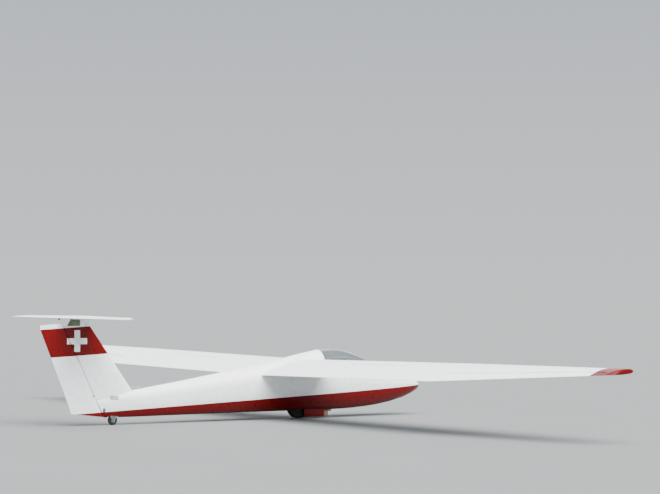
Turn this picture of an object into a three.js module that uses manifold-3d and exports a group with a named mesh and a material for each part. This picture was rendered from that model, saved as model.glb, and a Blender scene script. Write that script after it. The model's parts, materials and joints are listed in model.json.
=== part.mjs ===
// A single-seat all-metal sailplane of 15 m span, standing on its main wheel and its tail wheel.
// Millimetres. +X points to the nose, +Y to the port wing, +Z up. The origin lies on the ground,
// half way along the length, under the middle of the span.
import * as THREE from 'three';
import { mergeVertices } from 'three/addons/utils/BufferGeometryUtils.js';
import Module from 'manifold-3d';

const wasm = await Module();
wasm.setup();

// Driving dimensions of the whole aircraft
const LENGTH = 6570;
const SPAN = 15000;
const NOSE_X = LENGTH / 2;
const TAIL_X = -LENGTH / 2;
const TIP_Y = SPAN / 2;
const SEAT_GAP = 0.3;
const MOVING_GAP = 6;

// Hull stations: x, belly height, top height, half width, height of the widest point
const HULL = [
  { x: NOSE_X, belly: 446, top: 462, half: 9, wide: 454 },
  { x: 3274, belly: 414, top: 492, half: 46, wide: 454 },
  { x: 3219, belly: 376, top: 529, half: 96, wide: 456 },
  { x: 3100, belly: 318, top: 568, half: 150, wide: 460 },
  { x: 2940, belly: 262, top: 606, half: 196, wide: 468 },
  { x: 2700, belly: 206, top: 680, half: 238, wide: 485 },
  { x: 2420, belly: 162, top: 806, half: 270, wide: 505 },
  { x: 2200, belly: 142, top: 911, half: 285, wide: 520 },
  { x: 2010, belly: 128, top: 976, half: 293, wide: 530 },
  { x: 1830, belly: 120, top: 1022, half: 298, wide: 538 },
  { x: 1645, belly: 116, top: 1040, half: 300, wide: 545 },
  { x: 1380, belly: 116, top: 1024, half: 300, wide: 560 },
  { x: 1100, belly: 116, top: 974, half: 293, wide: 572 },
  { x: 830, belly: 116, top: 919, half: 280, wide: 575 },
  { x: 300, belly: 117, top: 821, half: 246, wide: 556 },
  { x: -260, belly: 115, top: 724, half: 204, wide: 515 },
  { x: -1000, belly: 111, top: 607, half: 150, wide: 445 },
  { x: -1816, belly: 107, top: 490, half: 92, wide: 360 },
  { x: -2420, belly: 113, top: 404, half: 44, wide: 305 },
];
const HULL_POINTS = 36;
const UPPER_CURVE = 2.0;
const LOWER_CURVE = 2.35;
const HULL_WALL = 12;
const NOSE_CONE_X = 3110;
const COCKPIT_REAR_X = 1580;
const CENTRE_REAR_X = 300;
const DECK_Z = 800;
const SHELF_Z = 640;

// Canopy: it closes on a sill that falls towards the nose, and hinges along the starboard sill.
// The glass starts at a line that leans forward from its foot on the frame to its head.
const CANOPY_REAR_X = 1366;
const CANOPY_TOP_Z = 1200;
const SILL_REAR = { x: 1366, z: 707 };
const SILL_FRONT = { x: 2700, z: 650 };
const GLASS_REAR = { footX: 1386, headX: 1440 };
const CANOPY_FRAME = 34;
const CANOPY_WALL = 9;
const GLASS_WALL = 4;
const HINGES = [{ name: 'rear', x: 1600, y: -303 }, { name: 'front', x: 2350, y: -261 }];
const HINGE = { radius: 6, fixed: 44, lug: 22 };

// Wing stations: distance from the centre, trailing edge, chord, angle to the ground, thickness
const WING_ROOT_Y = 232;
const WING = [
  { y: WING_ROOT_Y, teX: 270, teZ: 672, chord: 1086, angle: 7, thick: 0.18 },
  { y: 4440, teX: 270, teZ: 725, chord: 1086, angle: 7, thick: 0.18 },
  { y: 7400, teX: 834, teZ: 889, chord: 409, angle: 6, thick: 0.18 },
];
const WING_TIP = [
  { y: 7400 + SEAT_GAP, teX: 834, teZ: 889, chord: 409, angle: 6, thick: 0.18 },
  { y: 7455, teX: 853, teZ: 892, chord: 394, angle: 6, thick: 0.185 },
  { y: 7485, teX: 892, teZ: 897, chord: 357, angle: 6, thick: 0.195 },
  { y: TIP_Y, teX: 950, teZ: 905, chord: 294, angle: 6, thick: 0.21 },
];
const CAMBER = 0.033;
const EDGE_THICK = 0.004;
const SIDE_POINTS = 13;
const AILERON = { from: 4460, to: 7340, hinge: 0.78, endGap: 8 };
const AIRBRAKE = { from: 1900, to: 3250, x: 773, slot: 46, depth: 140, plate: 10, cap: 10 };

// Tail: fin and rudder share one aerofoil, cut along the hinge line
const TAIL_FIN = [
  { z: 130, le: -1560, te: -2768, thick: 0.085 },
  { z: 500, le: -1808, te: -2911, thick: 0.095 },
  { z: 1500, le: -2540, te: -3329, thick: 0.095 },
];
const RUDDER_HINGE = { bottom: { x: -2319, z: 140 }, top: { x: -2966, z: 1450 } };
const FIN_FOOT_Z = 380;
const FIN_TOP_Z = 1431;
const RUDDER_TOP = { front: 1466, rear: 1442 };
const RUDDER_FOOT = { front: 122, rear: 176 };
const TAILPLANE_Z = 1547;
const TAILPLANE = [
  { y: 0, le: -2436, te: -3020, thick: 0.095 },
  { y: 1486, le: -2620, te: -2965, thick: 0.105 },
  { y: 1530, le: -2638, te: -2962, thick: 0.1 },
  { y: 1545, le: -2668, te: -2958, thick: 0.07 },
];
const ELEVATOR = { hinge: 0.68, reach: 1478 };
// How far ahead of each hinge line the fixed skin ends, so that the moving flank stays clear of it
const RELIEF = { aileron: 22, rudder: 30, elevator: 6 };
const HORN = { front: 118, rear: 160, foot: 1521 };

// Hinge fittings of the control surfaces: a bracket on the fixed side with a pin through the nose
const FITTING = { plate: 6, height: 16, reach: 60, pin: 4, length: 44, notchBehind: 14 };
const AILERON_FITTINGS = [4900, 6100, 7100];
const RUDDER_FITTINGS = [420, 1180];
const ELEVATOR_FITTINGS = [-1000, 1000];

// Undercarriage
const WHEEL = { x: 1060, radius: 180, tread: 46, half: 62, rim: 66 };
const WELL = { rear: 866, front: 1532, half: 118, roof: 420 };
const DOOR = { rear: 1097, front: 1528, foot: 20, top: 172, thick: 8 };
const LEG_HEAD = { x: 1340, z: 330 };
const TAIL_WHEEL = { x: -2120, radius: 72, half: 24, flat: 15, axle: 6, cheek: 36, arch: 190 };
const TOW_HOOK = { x: 1630, foot: 84 };

// Cockpit
const FLOOR = { bottom: 206, top: 216, front: 2800 };
const SEAT_HALF = 190;
const PANEL = { x: 2470, thick: 8, foot: 470, hood: 600, head: 745, margin: 46 };
const PEDAL = { x: 2690, half: 46, foot: 300, head: 420, places: { port: 92, starboard: -92 } };
const LEVER_Z = 560;

// Paint, metal and rubber
const paint = (color, roughness) => new THREE.MeshStandardMaterial({ color, roughness, metalness: 0 });
const metal = (color, roughness) => new THREE.MeshStandardMaterial({ color, roughness, metalness: 0.9 });
const WHITE = paint(0xf2f2ef, 0.3);
const RED = paint(0xb50d1c, 0.3);
const RUBBER = paint(0x16161a, 0.85);
const DARK = paint(0x2b2d30, 0.6);
const GREY = paint(0x8c8f8e, 0.6);
const CUSHION = paint(0x4a3f36, 0.9);
const ALLOY = metal(0xb8bbbf, 0.4);
const STEEL = metal(0x7b7f83, 0.45);
const GLASS = new THREE.MeshStandardMaterial({
  color: 0xc9d2d6, roughness: 0.05, metalness: 0, transparent: true, opacity: 0.4,
});
const BLUE = paint(0x1f4fa8, 0.5);

// Solids for cutting and joining
function solidOf(geometry) {
  const bare = geometry.clone();
  bare.deleteAttribute('normal');
  bare.deleteAttribute('uv');
  const merged = mergeVertices(bare, 1e-3);
  const vertProperties = new Float32Array(merged.attributes.position.array);
  const triVerts = new Uint32Array(merged.index.array);
  return new wasm.Manifold(new wasm.Mesh({ numProp: 3, vertProperties, triVerts }));
}

function geometryOf(solid) {
  const mesh = solid.getMesh();
  const geometry = new THREE.BufferGeometry();
  geometry.setAttribute('position', new THREE.BufferAttribute(mesh.vertProperties, 3));
  geometry.setIndex(new THREE.BufferAttribute(mesh.triVerts, 1));
  return geometry;
}

function cut(geometry, ...tools) {
  return geometryOf(tools.reduce((solid, tool) => solid.subtract(solidOf(tool)), solidOf(geometry)));
}

function join(geometry, ...others) {
  return geometryOf(others.reduce((solid, other) => solid.add(solidOf(other)), solidOf(geometry)));
}

function common(geometry, ...others) {
  return geometryOf(others.reduce((solid, other) => solid.intersect(solidOf(other)), solidOf(geometry)));
}

// Basic shapes
function box(x0, x1, y0, y1, z0, z1) {
  const geometry = new THREE.BoxGeometry(x1 - x0, y1 - y0, z1 - z0);
  return geometry.translate((x0 + x1) / 2, (y0 + y1) / 2, (z0 + z1) / 2);
}

const slab = (x0, x1) => box(x0, x1, -900, 900, -100, 1800);

function rod(from, to, radius, sides = 16) {
  const start = new THREE.Vector3(...from);
  const end = new THREE.Vector3(...to);
  const along = end.clone().sub(start);
  const geometry = new THREE.CylinderGeometry(radius, radius, along.length(), sides);
  const turn = new THREE.Quaternion().setFromUnitVectors(
    new THREE.Vector3(0, 1, 0), along.clone().normalize());
  geometry.applyQuaternion(turn);
  return geometry.translate(...start.add(end).multiplyScalar(0.5).toArray());
}

// A plate: a side outline in x and z, pushed out across y
function plate(outline, y0, y1) {
  const shape = new THREE.Shape(outline.map(([x, z]) => new THREE.Vector2(x, z)));
  const geometry = new THREE.ExtrudeGeometry(shape, { depth: y1 - y0, bevelEnabled: false });
  return geometry.rotateX(Math.PI / 2).translate(0, y1, 0);
}

// A body of revolution about a line parallel to Y: profile points are [radius, y]
function wheelShape(profile, x, z, sides) {
  const points = profile.map(([radius, y]) => new THREE.Vector2(radius, y));
  return new THREE.LatheGeometry(points, sides).translate(x, 0, z);
}

// A loft through rings of equally many points, with flat ends
function loft(rings) {
  const count = rings[0].length;
  const position = rings.flat(2);
  const index = [];
  for (let k = 0; k < rings.length - 1; k += 1) {
    for (let j = 0; j < count; j += 1) {
      const a = k * count + j;
      const b = k * count + ((j + 1) % count);
      index.push(a, b, b + count, a, b + count, a + count);
    }
  }
  const flatten = (ring) => {
    const spread = [0, 1, 2].map((axis) => {
      const values = ring.map((point) => point[axis]);
      return Math.max(...values) - Math.min(...values);
    });
    const drop = spread.indexOf(Math.min(...spread));
    return ring.map((point) => new THREE.Vector2(...point.filter((_, axis) => axis !== drop)));
  };
  const cap = (ring, start, backwards) => {
    const outline = flatten(ring);
    const ringSign = Math.sign(THREE.ShapeUtils.area(outline));
    THREE.ShapeUtils.triangulateShape(outline, []).forEach(([a, b, c]) => {
      const sign = Math.sign(THREE.ShapeUtils.area([outline[a], outline[b], outline[c]]));
      const straight = (sign === ringSign) !== backwards;
      index.push(start + a, start + (straight ? b : c), start + (straight ? c : b));
    });
  };
  cap(rings[0], 0, true);
  cap(rings.at(-1), (rings.length - 1) * count, false);
  let volume = 0;
  const corner = (i) => new THREE.Vector3().fromArray(position, 3 * i);
  for (let i = 0; i < index.length; i += 3) {
    volume += corner(index[i]).dot(corner(index[i + 1]).cross(corner(index[i + 2])));
  }
  if (volume < 0) index.reverse();
  const geometry = new THREE.BufferGeometry();
  geometry.setAttribute('position', new THREE.Float32BufferAttribute(position, 3));
  geometry.setIndex(index);
  return geometry;
}

const mirrored = (geometry) => {
  const copy = geometry.clone();
  copy.scale(1, -1, 1);
  const order = copy.index.array;
  for (let i = 0; i < order.length; i += 3) [order[i], order[i + 1]] = [order[i + 1], order[i]];
  return copy;
};

// The hull: superellipses over and under the line of greatest width
function hullRing({ x, belly, top, half, wide }, inset) {
  return Array.from({ length: HULL_POINTS }, (_, i) => {
    const a = (2 * Math.PI * i) / HULL_POINTS;
    const c = Math.cos(a);
    const s = Math.sin(a);
    const power = 2 / (s >= 0 ? UPPER_CURVE : LOWER_CURVE);
    const height = s >= 0 ? top - inset - wide : wide - belly - inset;
    const y = Math.sign(c) * (half - inset) * Math.abs(c) ** power;
    return [x, y, wide + Math.sign(s) * height * Math.abs(s) ** power];
  });
}

const hull = (inset, stations = HULL) => loft(stations.map((station) => hullRing(station, inset)));

const sillZ = (x) => SILL_REAR.z
  + ((x - SILL_REAR.x) * (SILL_FRONT.z - SILL_REAR.z)) / (SILL_FRONT.x - SILL_REAR.x);

// What lies above the sill by a margin, and in front of a line from its foot to its head
function aboveSill(footX, headX, margin) {
  const frontX = 2950;
  return plate([
    [footX, sillZ(footX) + margin], [frontX, sillZ(frontX) + margin],
    [frontX, CANOPY_TOP_Z], [headX, CANOPY_TOP_Z],
  ], -500, 500);
}
const canopyRegion = (margin) => aboveSill(CANOPY_REAR_X + margin, CANOPY_REAR_X + margin, margin);
const glassRegion = (margin) => aboveSill(
  GLASS_REAR.footX + margin, GLASS_REAR.headX + margin, CANOPY_FRAME + margin);

// Aerofoils: height of the upper and lower surface at a share of the chord
const thickness = (t, s) => 5 * t * (0.2969 * Math.sqrt(s) - 0.126 * s - 0.3516 * s ** 2
  + 0.2843 * s ** 3 - 0.1036 * s ** 4) + 0.5 * EDGE_THICK * s;
const camberAt = (camber, s) => 4 * camber * s * (1 - s);

function aerofoil(thick, camber) {
  const shares = Array.from({ length: SIDE_POINTS }, (_, i) =>
    (1 - Math.cos((Math.PI * i) / (SIDE_POINTS - 1))) / 2);
  const upper = shares.map((s) => [s, camberAt(camber, s) + thickness(thick, s)]);
  const lower = shares.slice(1).map((s) => [s, camberAt(camber, s) - thickness(thick, s)]);
  return [...upper, ...lower.reverse()];
}

// A point of a wing station, from its share of the chord and its height over the chord line
function wingPoint({ y, teX, teZ, chord, angle }, share, height) {
  const turn = THREE.MathUtils.degToRad(angle);
  const along = (1 - share) * chord;
  const up = height * chord;
  return [
    teX + along * Math.cos(turn) - up * Math.sin(turn),
    y,
    teZ + along * Math.sin(turn) + up * Math.cos(turn),
  ];
}

function wingStation(y) {
  const outer = Math.max(1, WING.findIndex((station) => station.y >= y));
  const [a, b] = [WING[outer - 1], WING[outer]];
  const t = (y - a.y) / (b.y - a.y);
  const blend = (key) => a[key] + t * (b[key] - a[key]);
  return {
    y, teX: blend('teX'), teZ: blend('teZ'), chord: blend('chord'),
    angle: blend('angle'), thick: blend('thick'),
  };
}

const wingRing = (station) => aerofoil(station.thick, CAMBER)
  .map(([share, height]) => wingPoint(station, share, height));
const wingBlank = (stations) => loft(stations.map(wingRing));

// A round bar that follows a hinge line, with its own radius at each end
function hingeBar(from, to, radiusFrom, radiusTo, sides = 20) {
  const start = new THREE.Vector3(...from);
  const end = new THREE.Vector3(...to);
  const along = end.clone().sub(start).normalize();
  const side = new THREE.Vector3(1, 0, 0).cross(along).normalize();
  const front = along.clone().cross(side).normalize();
  const circle = (centre, radius) => Array.from({ length: sides }, (_, i) => {
    const a = (2 * Math.PI * i) / sides;
    return centre.clone().addScaledVector(side, radius * Math.cos(a))
      .addScaledVector(front, radius * Math.sin(a)).toArray();
  });
  return loft([circle(start, radiusFrom), circle(end, radiusTo)]);
}

// The block behind a hinge line: four corners in plan, tall enough for any wing
function blockBehind(corners, z0, z1) {
  return loft([z0, z1].map((z) => corners.map(([x, y]) => [x, y, z])));
}

function extend(from, to, extra) {
  const along = new THREE.Vector3(...to).sub(new THREE.Vector3(...from)).normalize();
  return [
    new THREE.Vector3(...from).addScaledVector(along, -extra).toArray(),
    new THREE.Vector3(...to).addScaledVector(along, extra).toArray(),
  ];
}

// A hinge fitting at a place on a hinge line: what the fixed side gains and the moving side loses.
// The hinge line's direction and the way forward from it set how it lies.
function hingeFitting(place, direction, forward) {
  const along = new THREE.Vector3(...direction).normalize();
  const ahead = new THREE.Vector3(...forward);
  ahead.addScaledVector(along, -ahead.dot(along)).normalize();
  const frame = new THREE.Matrix4().makeBasis(ahead, along, ahead.clone().cross(along));
  frame.setPosition(...place);
  const { plate: thin, height, reach, pin, length, notchBehind } = FITTING;
  const bar = (radius, size) => rod([0, -size / 2, 0], [0, size / 2, 0], radius, 12);
  const bracket = box(-height / 2, reach, -thin / 2, thin / 2, -height / 2, height / 2);
  return {
    fixed: join(bracket, bar(pin, length)).applyMatrix4(frame),
    notch: box(-notchBehind, 2 * reach, -thin / 2 - MOVING_GAP, thin / 2 + MOVING_GAP, -90, 90)
      .applyMatrix4(frame),
    bore: bar(pin + SEAT_GAP, length + MOVING_GAP).applyMatrix4(frame),
  };
}

function fitHinges(fixed, moving, fittings) {
  return [
    join(fixed, ...fittings.map((fitting) => fitting.fixed)),
    cut(moving, ...fittings.flatMap((fitting) => [fitting.notch, fitting.bore])),
  ];
}

const between = (from, to, t) => from.map((value, i) => value + t * (to[i] - value));

const group = new THREE.Group();
function piece(name, geometry, material) {
  const mesh = new THREE.Mesh(geometry, material);
  mesh.name = name;
  group.add(mesh);
}

// Port wing with its aileron and airbrake; the starboard side is their mirror image
const aileronHinge = [AILERON.from, AILERON.to].map((y) => {
  const station = wingStation(y);
  return {
    axis: wingPoint(station, AILERON.hinge, camberAt(CAMBER, AILERON.hinge)),
    radius: thickness(station.thick, AILERON.hinge) * station.chord * 0.985,
  };
});
function aileronRegion(gap, relief) {
  const [inner, outer] = aileronHinge.map(({ axis }) => axis);
  return blockBehind([
    [inner[0] + relief, AILERON.from - gap], [outer[0] + relief, AILERON.to + gap],
    [200, AILERON.to + gap], [200, AILERON.from - gap],
  ], 500, 1200);
}
function aileronNose(gap) {
  const [inner, outer] = aileronHinge;
  const [from, to] = extend(inner.axis, outer.axis, gap);
  return hingeBar(from, to, inner.radius + gap, outer.radius + gap);
}
const wholeWing = wingBlank(WING);
const brakeStation = wingStation((AIRBRAKE.from + AIRBRAKE.to) / 2);
const brakeTop = (y) => {
  const station = wingStation(y);
  const share = 1 - (AIRBRAKE.x - station.teX) / (station.chord * Math.cos(
    THREE.MathUtils.degToRad(station.angle)));
  return wingPoint(station, share, camberAt(CAMBER, share) + thickness(station.thick, share))[2];
};
const brakeBed = brakeTop(AIRBRAKE.from) - AIRBRAKE.depth;
const brakeSlot = (gap) => box(
  AIRBRAKE.x - AIRBRAKE.slot / 2 + gap, AIRBRAKE.x + AIRBRAKE.slot / 2 - gap,
  AIRBRAKE.from + gap, AIRBRAKE.to - gap, brakeBed + gap, brakeStation.teZ + 400);
const aileronEnds = aileronHinge.map(({ axis }) => axis);
const aileronFittings = AILERON_FITTINGS.map((y) => hingeFitting(
  between(...aileronEnds, (y - AILERON.from) / (AILERON.to - AILERON.from)),
  between(...aileronEnds, 1).map((value, i) => value - aileronEnds[0][i]), [1, 0, 0.12]));
const [wing, aileron] = fitHinges(
  cut(wholeWing, aileronRegion(AILERON.endGap, RELIEF.aileron), aileronNose(MOVING_GAP), brakeSlot(0)),
  join(common(wholeWing, aileronRegion(0, 0)), aileronNose(0)), aileronFittings);
const brakeCap = cut(common(wholeWing, brakeSlot(MOVING_GAP)),
  wholeWing.clone().translate(0, 0, -AIRBRAKE.cap));
const brakePlate = box(
  AIRBRAKE.x - AIRBRAKE.plate / 2, AIRBRAKE.x + AIRBRAKE.plate / 2,
  AIRBRAKE.from + MOVING_GAP, AIRBRAKE.to - MOVING_GAP,
  brakeBed + SEAT_GAP, brakeTop(AIRBRAKE.from) - AIRBRAKE.cap / 2);
const airbrake = join(brakeCap, brakePlate);
const wingTip = wingBlank(WING_TIP);
for (const [side, place] of [['port', (shape) => shape], ['starboard', mirrored]]) {
  piece(`wing_${side}`, place(wing), WHITE);
  piece(`wing_tip_${side}`, place(wingTip), RED);
  piece(`aileron_${side}`, place(aileron), WHITE);
  piece(`airbrake_${side}`, place(airbrake), ALLOY);
}

// Wing pocket in the hull: the wing's own section, a little larger all round
const pocketStation = (y) => ({
  ...WING[0], y, teX: WING[0].teX - SEAT_GAP, chord: WING[0].chord + 2 * SEAT_GAP,
  teZ: WING[0].teZ + ((y - WING[0].y) * (WING[1].teZ - WING[0].teZ)) / (WING[1].y - WING[0].y),
});
const pocketRing = (y) => {
  const station = pocketStation(y);
  const grow = SEAT_GAP / station.chord;
  const half = (SIDE_POINTS - 1);
  return aerofoil(station.thick, CAMBER).map(([share, height], i) =>
    wingPoint(station, share, height + (i <= half ? grow : -grow)));
};
const pocket = loft([pocketRing(WING_ROOT_Y - SEAT_GAP), pocketRing(500)]);
const pockets = [pocket, mirrored(pocket)];

// Fuselage
const outside = hull(0);
const canopySpace = canopyRegion(0);
const wheelWell = box(WELL.rear, WELL.front, -WELL.half, WELL.half, 0, WELL.roof);
const inner = hull(HULL_WALL);
const cockpit = common(inner, slab(COCKPIT_REAR_X, NOSE_CONE_X));
const shelf = common(inner,
  box(CANOPY_REAR_X - 60, COCKPIT_REAR_X + 1, -400, 400, SHELF_Z, CANOPY_TOP_Z));
piece('nose_cone', common(outside, slab(NOSE_CONE_X + SEAT_GAP, NOSE_X + 10)), WHITE);
piece('cockpit_shell', cut(common(outside, slab(COCKPIT_REAR_X + SEAT_GAP, NOSE_CONE_X)),
  cockpit.clone().translate(1, 0, 0), cockpit.clone().translate(-1, 0, 0), canopySpace), WHITE);
piece('centre_fuselage', cut(common(outside, slab(CENTRE_REAR_X + SEAT_GAP, COCKPIT_REAR_X)),
  box(CENTRE_REAR_X, CANOPY_REAR_X, -500, 500, DECK_Z, CANOPY_TOP_Z),
  canopySpace, shelf, wheelWell, ...pockets), WHITE);
piece('turtle_deck', cut(common(outside, box(CENTRE_REAR_X + SEAT_GAP, CANOPY_REAR_X - SEAT_GAP,
  -500, 500, DECK_Z + SEAT_GAP, CANOPY_TOP_Z)), shelf, ...pockets), WHITE);

// Fin, rudder and tail cone share the hinge line
const finRing = ({ z, le, te, thick }) => aerofoil(thick, 0)
  .map(([share, height]) => [le + share * (te - le), height * (le - te), z]);
const finBlank = loft(TAIL_FIN.map(finRing));
const finWidthAt = (z, x) => {
  const upper = TAIL_FIN.findIndex((station, i) => i > 0 && station.z >= z);
  const [a, b] = [TAIL_FIN[upper - 1], TAIL_FIN[upper]];
  const t = (z - a.z) / (b.z - a.z);
  const le = a.le + t * (b.le - a.le);
  const te = a.te + t * (b.te - a.te);
  return thickness(a.thick + t * (b.thick - a.thick), (x - le) / (te - le)) * (le - te);
};
const hingeLow = [RUDDER_HINGE.bottom.x, 0, RUDDER_HINGE.bottom.z];
const hingeHigh = [RUDDER_HINGE.top.x, 0, RUDDER_HINGE.top.z];
const rudderRadius = [RUDDER_HINGE.bottom, RUDDER_HINGE.top].map(({ x, z }) => finWidthAt(z, x) * 0.985);
function rudderNose(gap) {
  const [from, to] = extend(hingeLow, hingeHigh, 60);
  return hingeBar(from, to, rudderRadius[0] + gap, rudderRadius[1] + gap);
}
function rudderRegion(relief, bottom, top) {
  const slope = (RUDDER_HINGE.top.x - RUDDER_HINGE.bottom.x) / (RUDDER_HINGE.top.z - RUDDER_HINGE.bottom.z);
  const hingeX = (z) => RUDDER_HINGE.bottom.x + relief + slope * (z - RUDDER_HINGE.bottom.z);
  return plate([
    [hingeX(bottom), bottom], [-3600, bottom], [-3600, top], [hingeX(top), top],
  ], -210, 210);
}
const rudderTrim = [
  plate([[-2200, RUDDER_FOOT.front - 12], [-2780, RUDDER_FOOT.rear], [-3500, 300],
    [-3500, -100], [-2200, -100]], -300, 300),
  plate([[-2850, RUDDER_TOP.front + 6], [-3290, RUDDER_TOP.rear], [-3600, RUDDER_TOP.rear - 24],
    [-3600, 1700], [-2850, 1700]], -300, 300),
  slab(-4000, TAIL_X),
];
const rudderBar = cut(rudderNose(0), box(-3600, -2000, -300, 300, RUDDER_TOP.front + 2, 1700));
const rudderBlank = cut(join(common(finBlank, rudderRegion(0, 100, 1490)), rudderBar), ...rudderTrim);
const behindHinge = rudderRegion(RELIEF.rudder, -50, 1600);
const finFixed = cut(common(finBlank, box(-3400, -1500, -300, 300, FIN_FOOT_Z, FIN_TOP_Z)),
  behindHinge, rudderNose(MOVING_GAP));
const rudderFittings = RUDDER_FITTINGS.map((z) => hingeFitting(
  between(hingeLow, hingeHigh, (z - hingeLow[2]) / (hingeHigh[2] - hingeLow[2])),
  hingeHigh.map((value, i) => value - hingeLow[i]), [1, 0, 0]));
const [fin, rudder] = fitHinges(finFixed, rudderBlank, rudderFittings);
piece('fin', fin, WHITE);
piece('rudder', rudder, WHITE);
const finSocketRing = ({ z, le, te, thick }) => aerofoil(thick, 0)
  .map(([share, height]) => [le + SEAT_GAP + share * (te - le - 2 * SEAT_GAP),
    height * (le - te) + Math.sign(height) * SEAT_GAP, z]);
const finSocket = common(loft(TAIL_FIN.map(finSocketRing)),
  box(-3600, -1500, -300, 300, FIN_FOOT_Z - SEAT_GAP, 1500));
const tailWell = box(TAIL_WHEEL.x - 95, TAIL_WHEEL.x + 95, -TAIL_WHEEL.cheek, TAIL_WHEEL.cheek,
  0, TAIL_WHEEL.arch);
piece('tail_cone', cut(common(outside, slab(-2600, CENTRE_REAR_X)), finSocket, behindHinge,
  rudderNose(MOVING_GAP), tailWell), WHITE);

// Tailplane and elevator on a cap over the fin
const tailplaneRing = ({ y, le, te, thick }) => aerofoil(thick, 0)
  .map(([share, height]) => [le + share * (te - le), y, TAILPLANE_Z + height * (le - te)]);
const tailplaneHalf = [...TAILPLANE].reverse();
const tailplaneStations = [
  ...tailplaneHalf.map((station) => ({ ...station, y: -station.y })), ...TAILPLANE.slice(1)];
const tailplaneBlank = loft(tailplaneStations.map(tailplaneRing));
const elevatorHinge = (y) => {
  const t = Math.abs(y) / TAILPLANE[1].y;
  const le = TAILPLANE[0].le + t * (TAILPLANE[1].le - TAILPLANE[0].le);
  const te = TAILPLANE[0].te + t * (TAILPLANE[1].te - TAILPLANE[0].te);
  return le + ELEVATOR.hinge * (te - le);
};
const ELEVATOR_X = (elevatorHinge(0) + elevatorHinge(ELEVATOR.reach)) / 2;
const elevatorRadius = (y) => {
  const t = Math.abs(y) / TAILPLANE[1].y;
  const le = TAILPLANE[0].le + t * (TAILPLANE[1].le - TAILPLANE[0].le);
  const te = TAILPLANE[0].te + t * (TAILPLANE[1].te - TAILPLANE[0].te);
  return thickness(TAILPLANE[0].thick, (ELEVATOR_X - le) / (te - le)) * (le - te) * 0.985;
};
function elevatorNose(gap) {
  const reach = ELEVATOR.reach + gap;
  const centre = [ELEVATOR_X, 0, TAILPLANE_Z];
  const ends = [-1, 1].map((side) => hingeBar(
    [ELEVATOR_X, side * reach, TAILPLANE_Z], centre,
    elevatorRadius(ELEVATOR.reach) + gap, elevatorRadius(0) + gap));
  return join(ends[0], ends[1]);
}
const elevatorRegion = (gap, relief) => box(
  -3200, ELEVATOR_X + relief, -ELEVATOR.reach - gap, ELEVATOR.reach + gap, 1400, 1700);
const elevatorFittings = ELEVATOR_FITTINGS.map((y) => hingeFitting(
  [ELEVATOR_X, y, TAILPLANE_Z], [0, 1, 0], [1, 0, 0]));
const [tailplane, elevator] = fitHinges(
  cut(tailplaneBlank, elevatorRegion(MOVING_GAP, RELIEF.elevator), elevatorNose(MOVING_GAP)),
  join(common(tailplaneBlank, elevatorRegion(0, 0)), elevatorNose(0)), elevatorFittings);
piece('tailplane', tailplane, WHITE);
piece('elevator', elevator, WHITE);
const hornBlank = plate([
  [ELEVATOR_X - HORN.front, TAILPLANE_Z], [ELEVATOR_X - HORN.rear, TAILPLANE_Z],
  [ELEVATOR_X - HORN.rear + 8, HORN.foot], [ELEVATOR_X - HORN.front - 8, HORN.foot]], -5, 5);
piece('elevator_horn', cut(hornBlank, tailplaneBlank.clone().translate(0, 0, -SEAT_GAP),
  box(-3400, -2000, -50, 50, TAILPLANE_Z - 4, 1700)), STEEL);
const capRing = (z, front, rear, half) => Array.from({ length: 20 }, (_, i) => {
  const a = (2 * Math.PI * i) / 20;
  return [(front + rear) / 2 + ((front - rear) / 2) * Math.cos(a), half * Math.sin(a), z];
});
piece('fin_cap', cut(loft([
  capRing(FIN_TOP_Z + SEAT_GAP, -2500, -2860, 40), capRing(1480, -2505, -2830, 38),
  capRing(TAILPLANE_Z - 4, -2462, -2790, 36)]),
rudderNose(MOVING_GAP), tailplaneBlank.clone().translate(0, 0, -SEAT_GAP)), WHITE);
piece('fin_probe', rod([-1826, 0, 530], [-1690, 0, 537], 5, 12), ALLOY);

// Main wheel on a fork in its well, with a door on each side
const axleZ = WHEEL.radius;
const tyreProfile = [
  [WHEEL.rim, -40], [WHEEL.rim + 34, -WHEEL.half], [WHEEL.rim + 66, -WHEEL.half],
  [WHEEL.radius - 14, -WHEEL.half + 6], [WHEEL.radius, -WHEEL.tread],
  [WHEEL.radius, WHEEL.tread], [WHEEL.radius - 14, WHEEL.half - 6],
  [WHEEL.rim + 66, WHEEL.half], [WHEEL.rim + 34, WHEEL.half], [WHEEL.rim, 40], [WHEEL.rim, -40],
];
piece('main_tyre', wheelShape(tyreProfile, WHEEL.x, axleZ, 48), RUBBER);
const hubProfile = [
  [10.4, -30], [WHEEL.rim - SEAT_GAP, -40], [WHEEL.rim - SEAT_GAP, 40], [10.4, 30], [10.4, -30]];
piece('main_wheel_hub', wheelShape(hubProfile, WHEEL.x, axleZ, 32), ALLOY);
piece('main_axle', rod([WHEEL.x, -88, axleZ], [WHEEL.x, 88, axleZ], 10), STEEL);
const arm = (y0, y1) => plate([
  [WHEEL.x - 18, axleZ - 14], [WHEEL.x - 6, axleZ - 22], [WHEEL.x + 26, axleZ - 12],
  [LEG_HEAD.x + 20, LEG_HEAD.z - 14], [LEG_HEAD.x + 14, LEG_HEAD.z + 20],
  [LEG_HEAD.x - 14, LEG_HEAD.z + 20], [WHEEL.x - 10, axleZ + 24]], y0, y1);
const axleHole = rod([WHEEL.x, -120, axleZ], [WHEEL.x, 120, axleZ], 10 + SEAT_GAP);
const legPivot = WELL.half - SEAT_GAP;
piece('main_gear_fork', cut(join(
  rod([LEG_HEAD.x, -legPivot, LEG_HEAD.z], [LEG_HEAD.x, legPivot, LEG_HEAD.z], 20),
  arm(72, 80), arm(-80, -72)), axleHole), STEEL);
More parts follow.
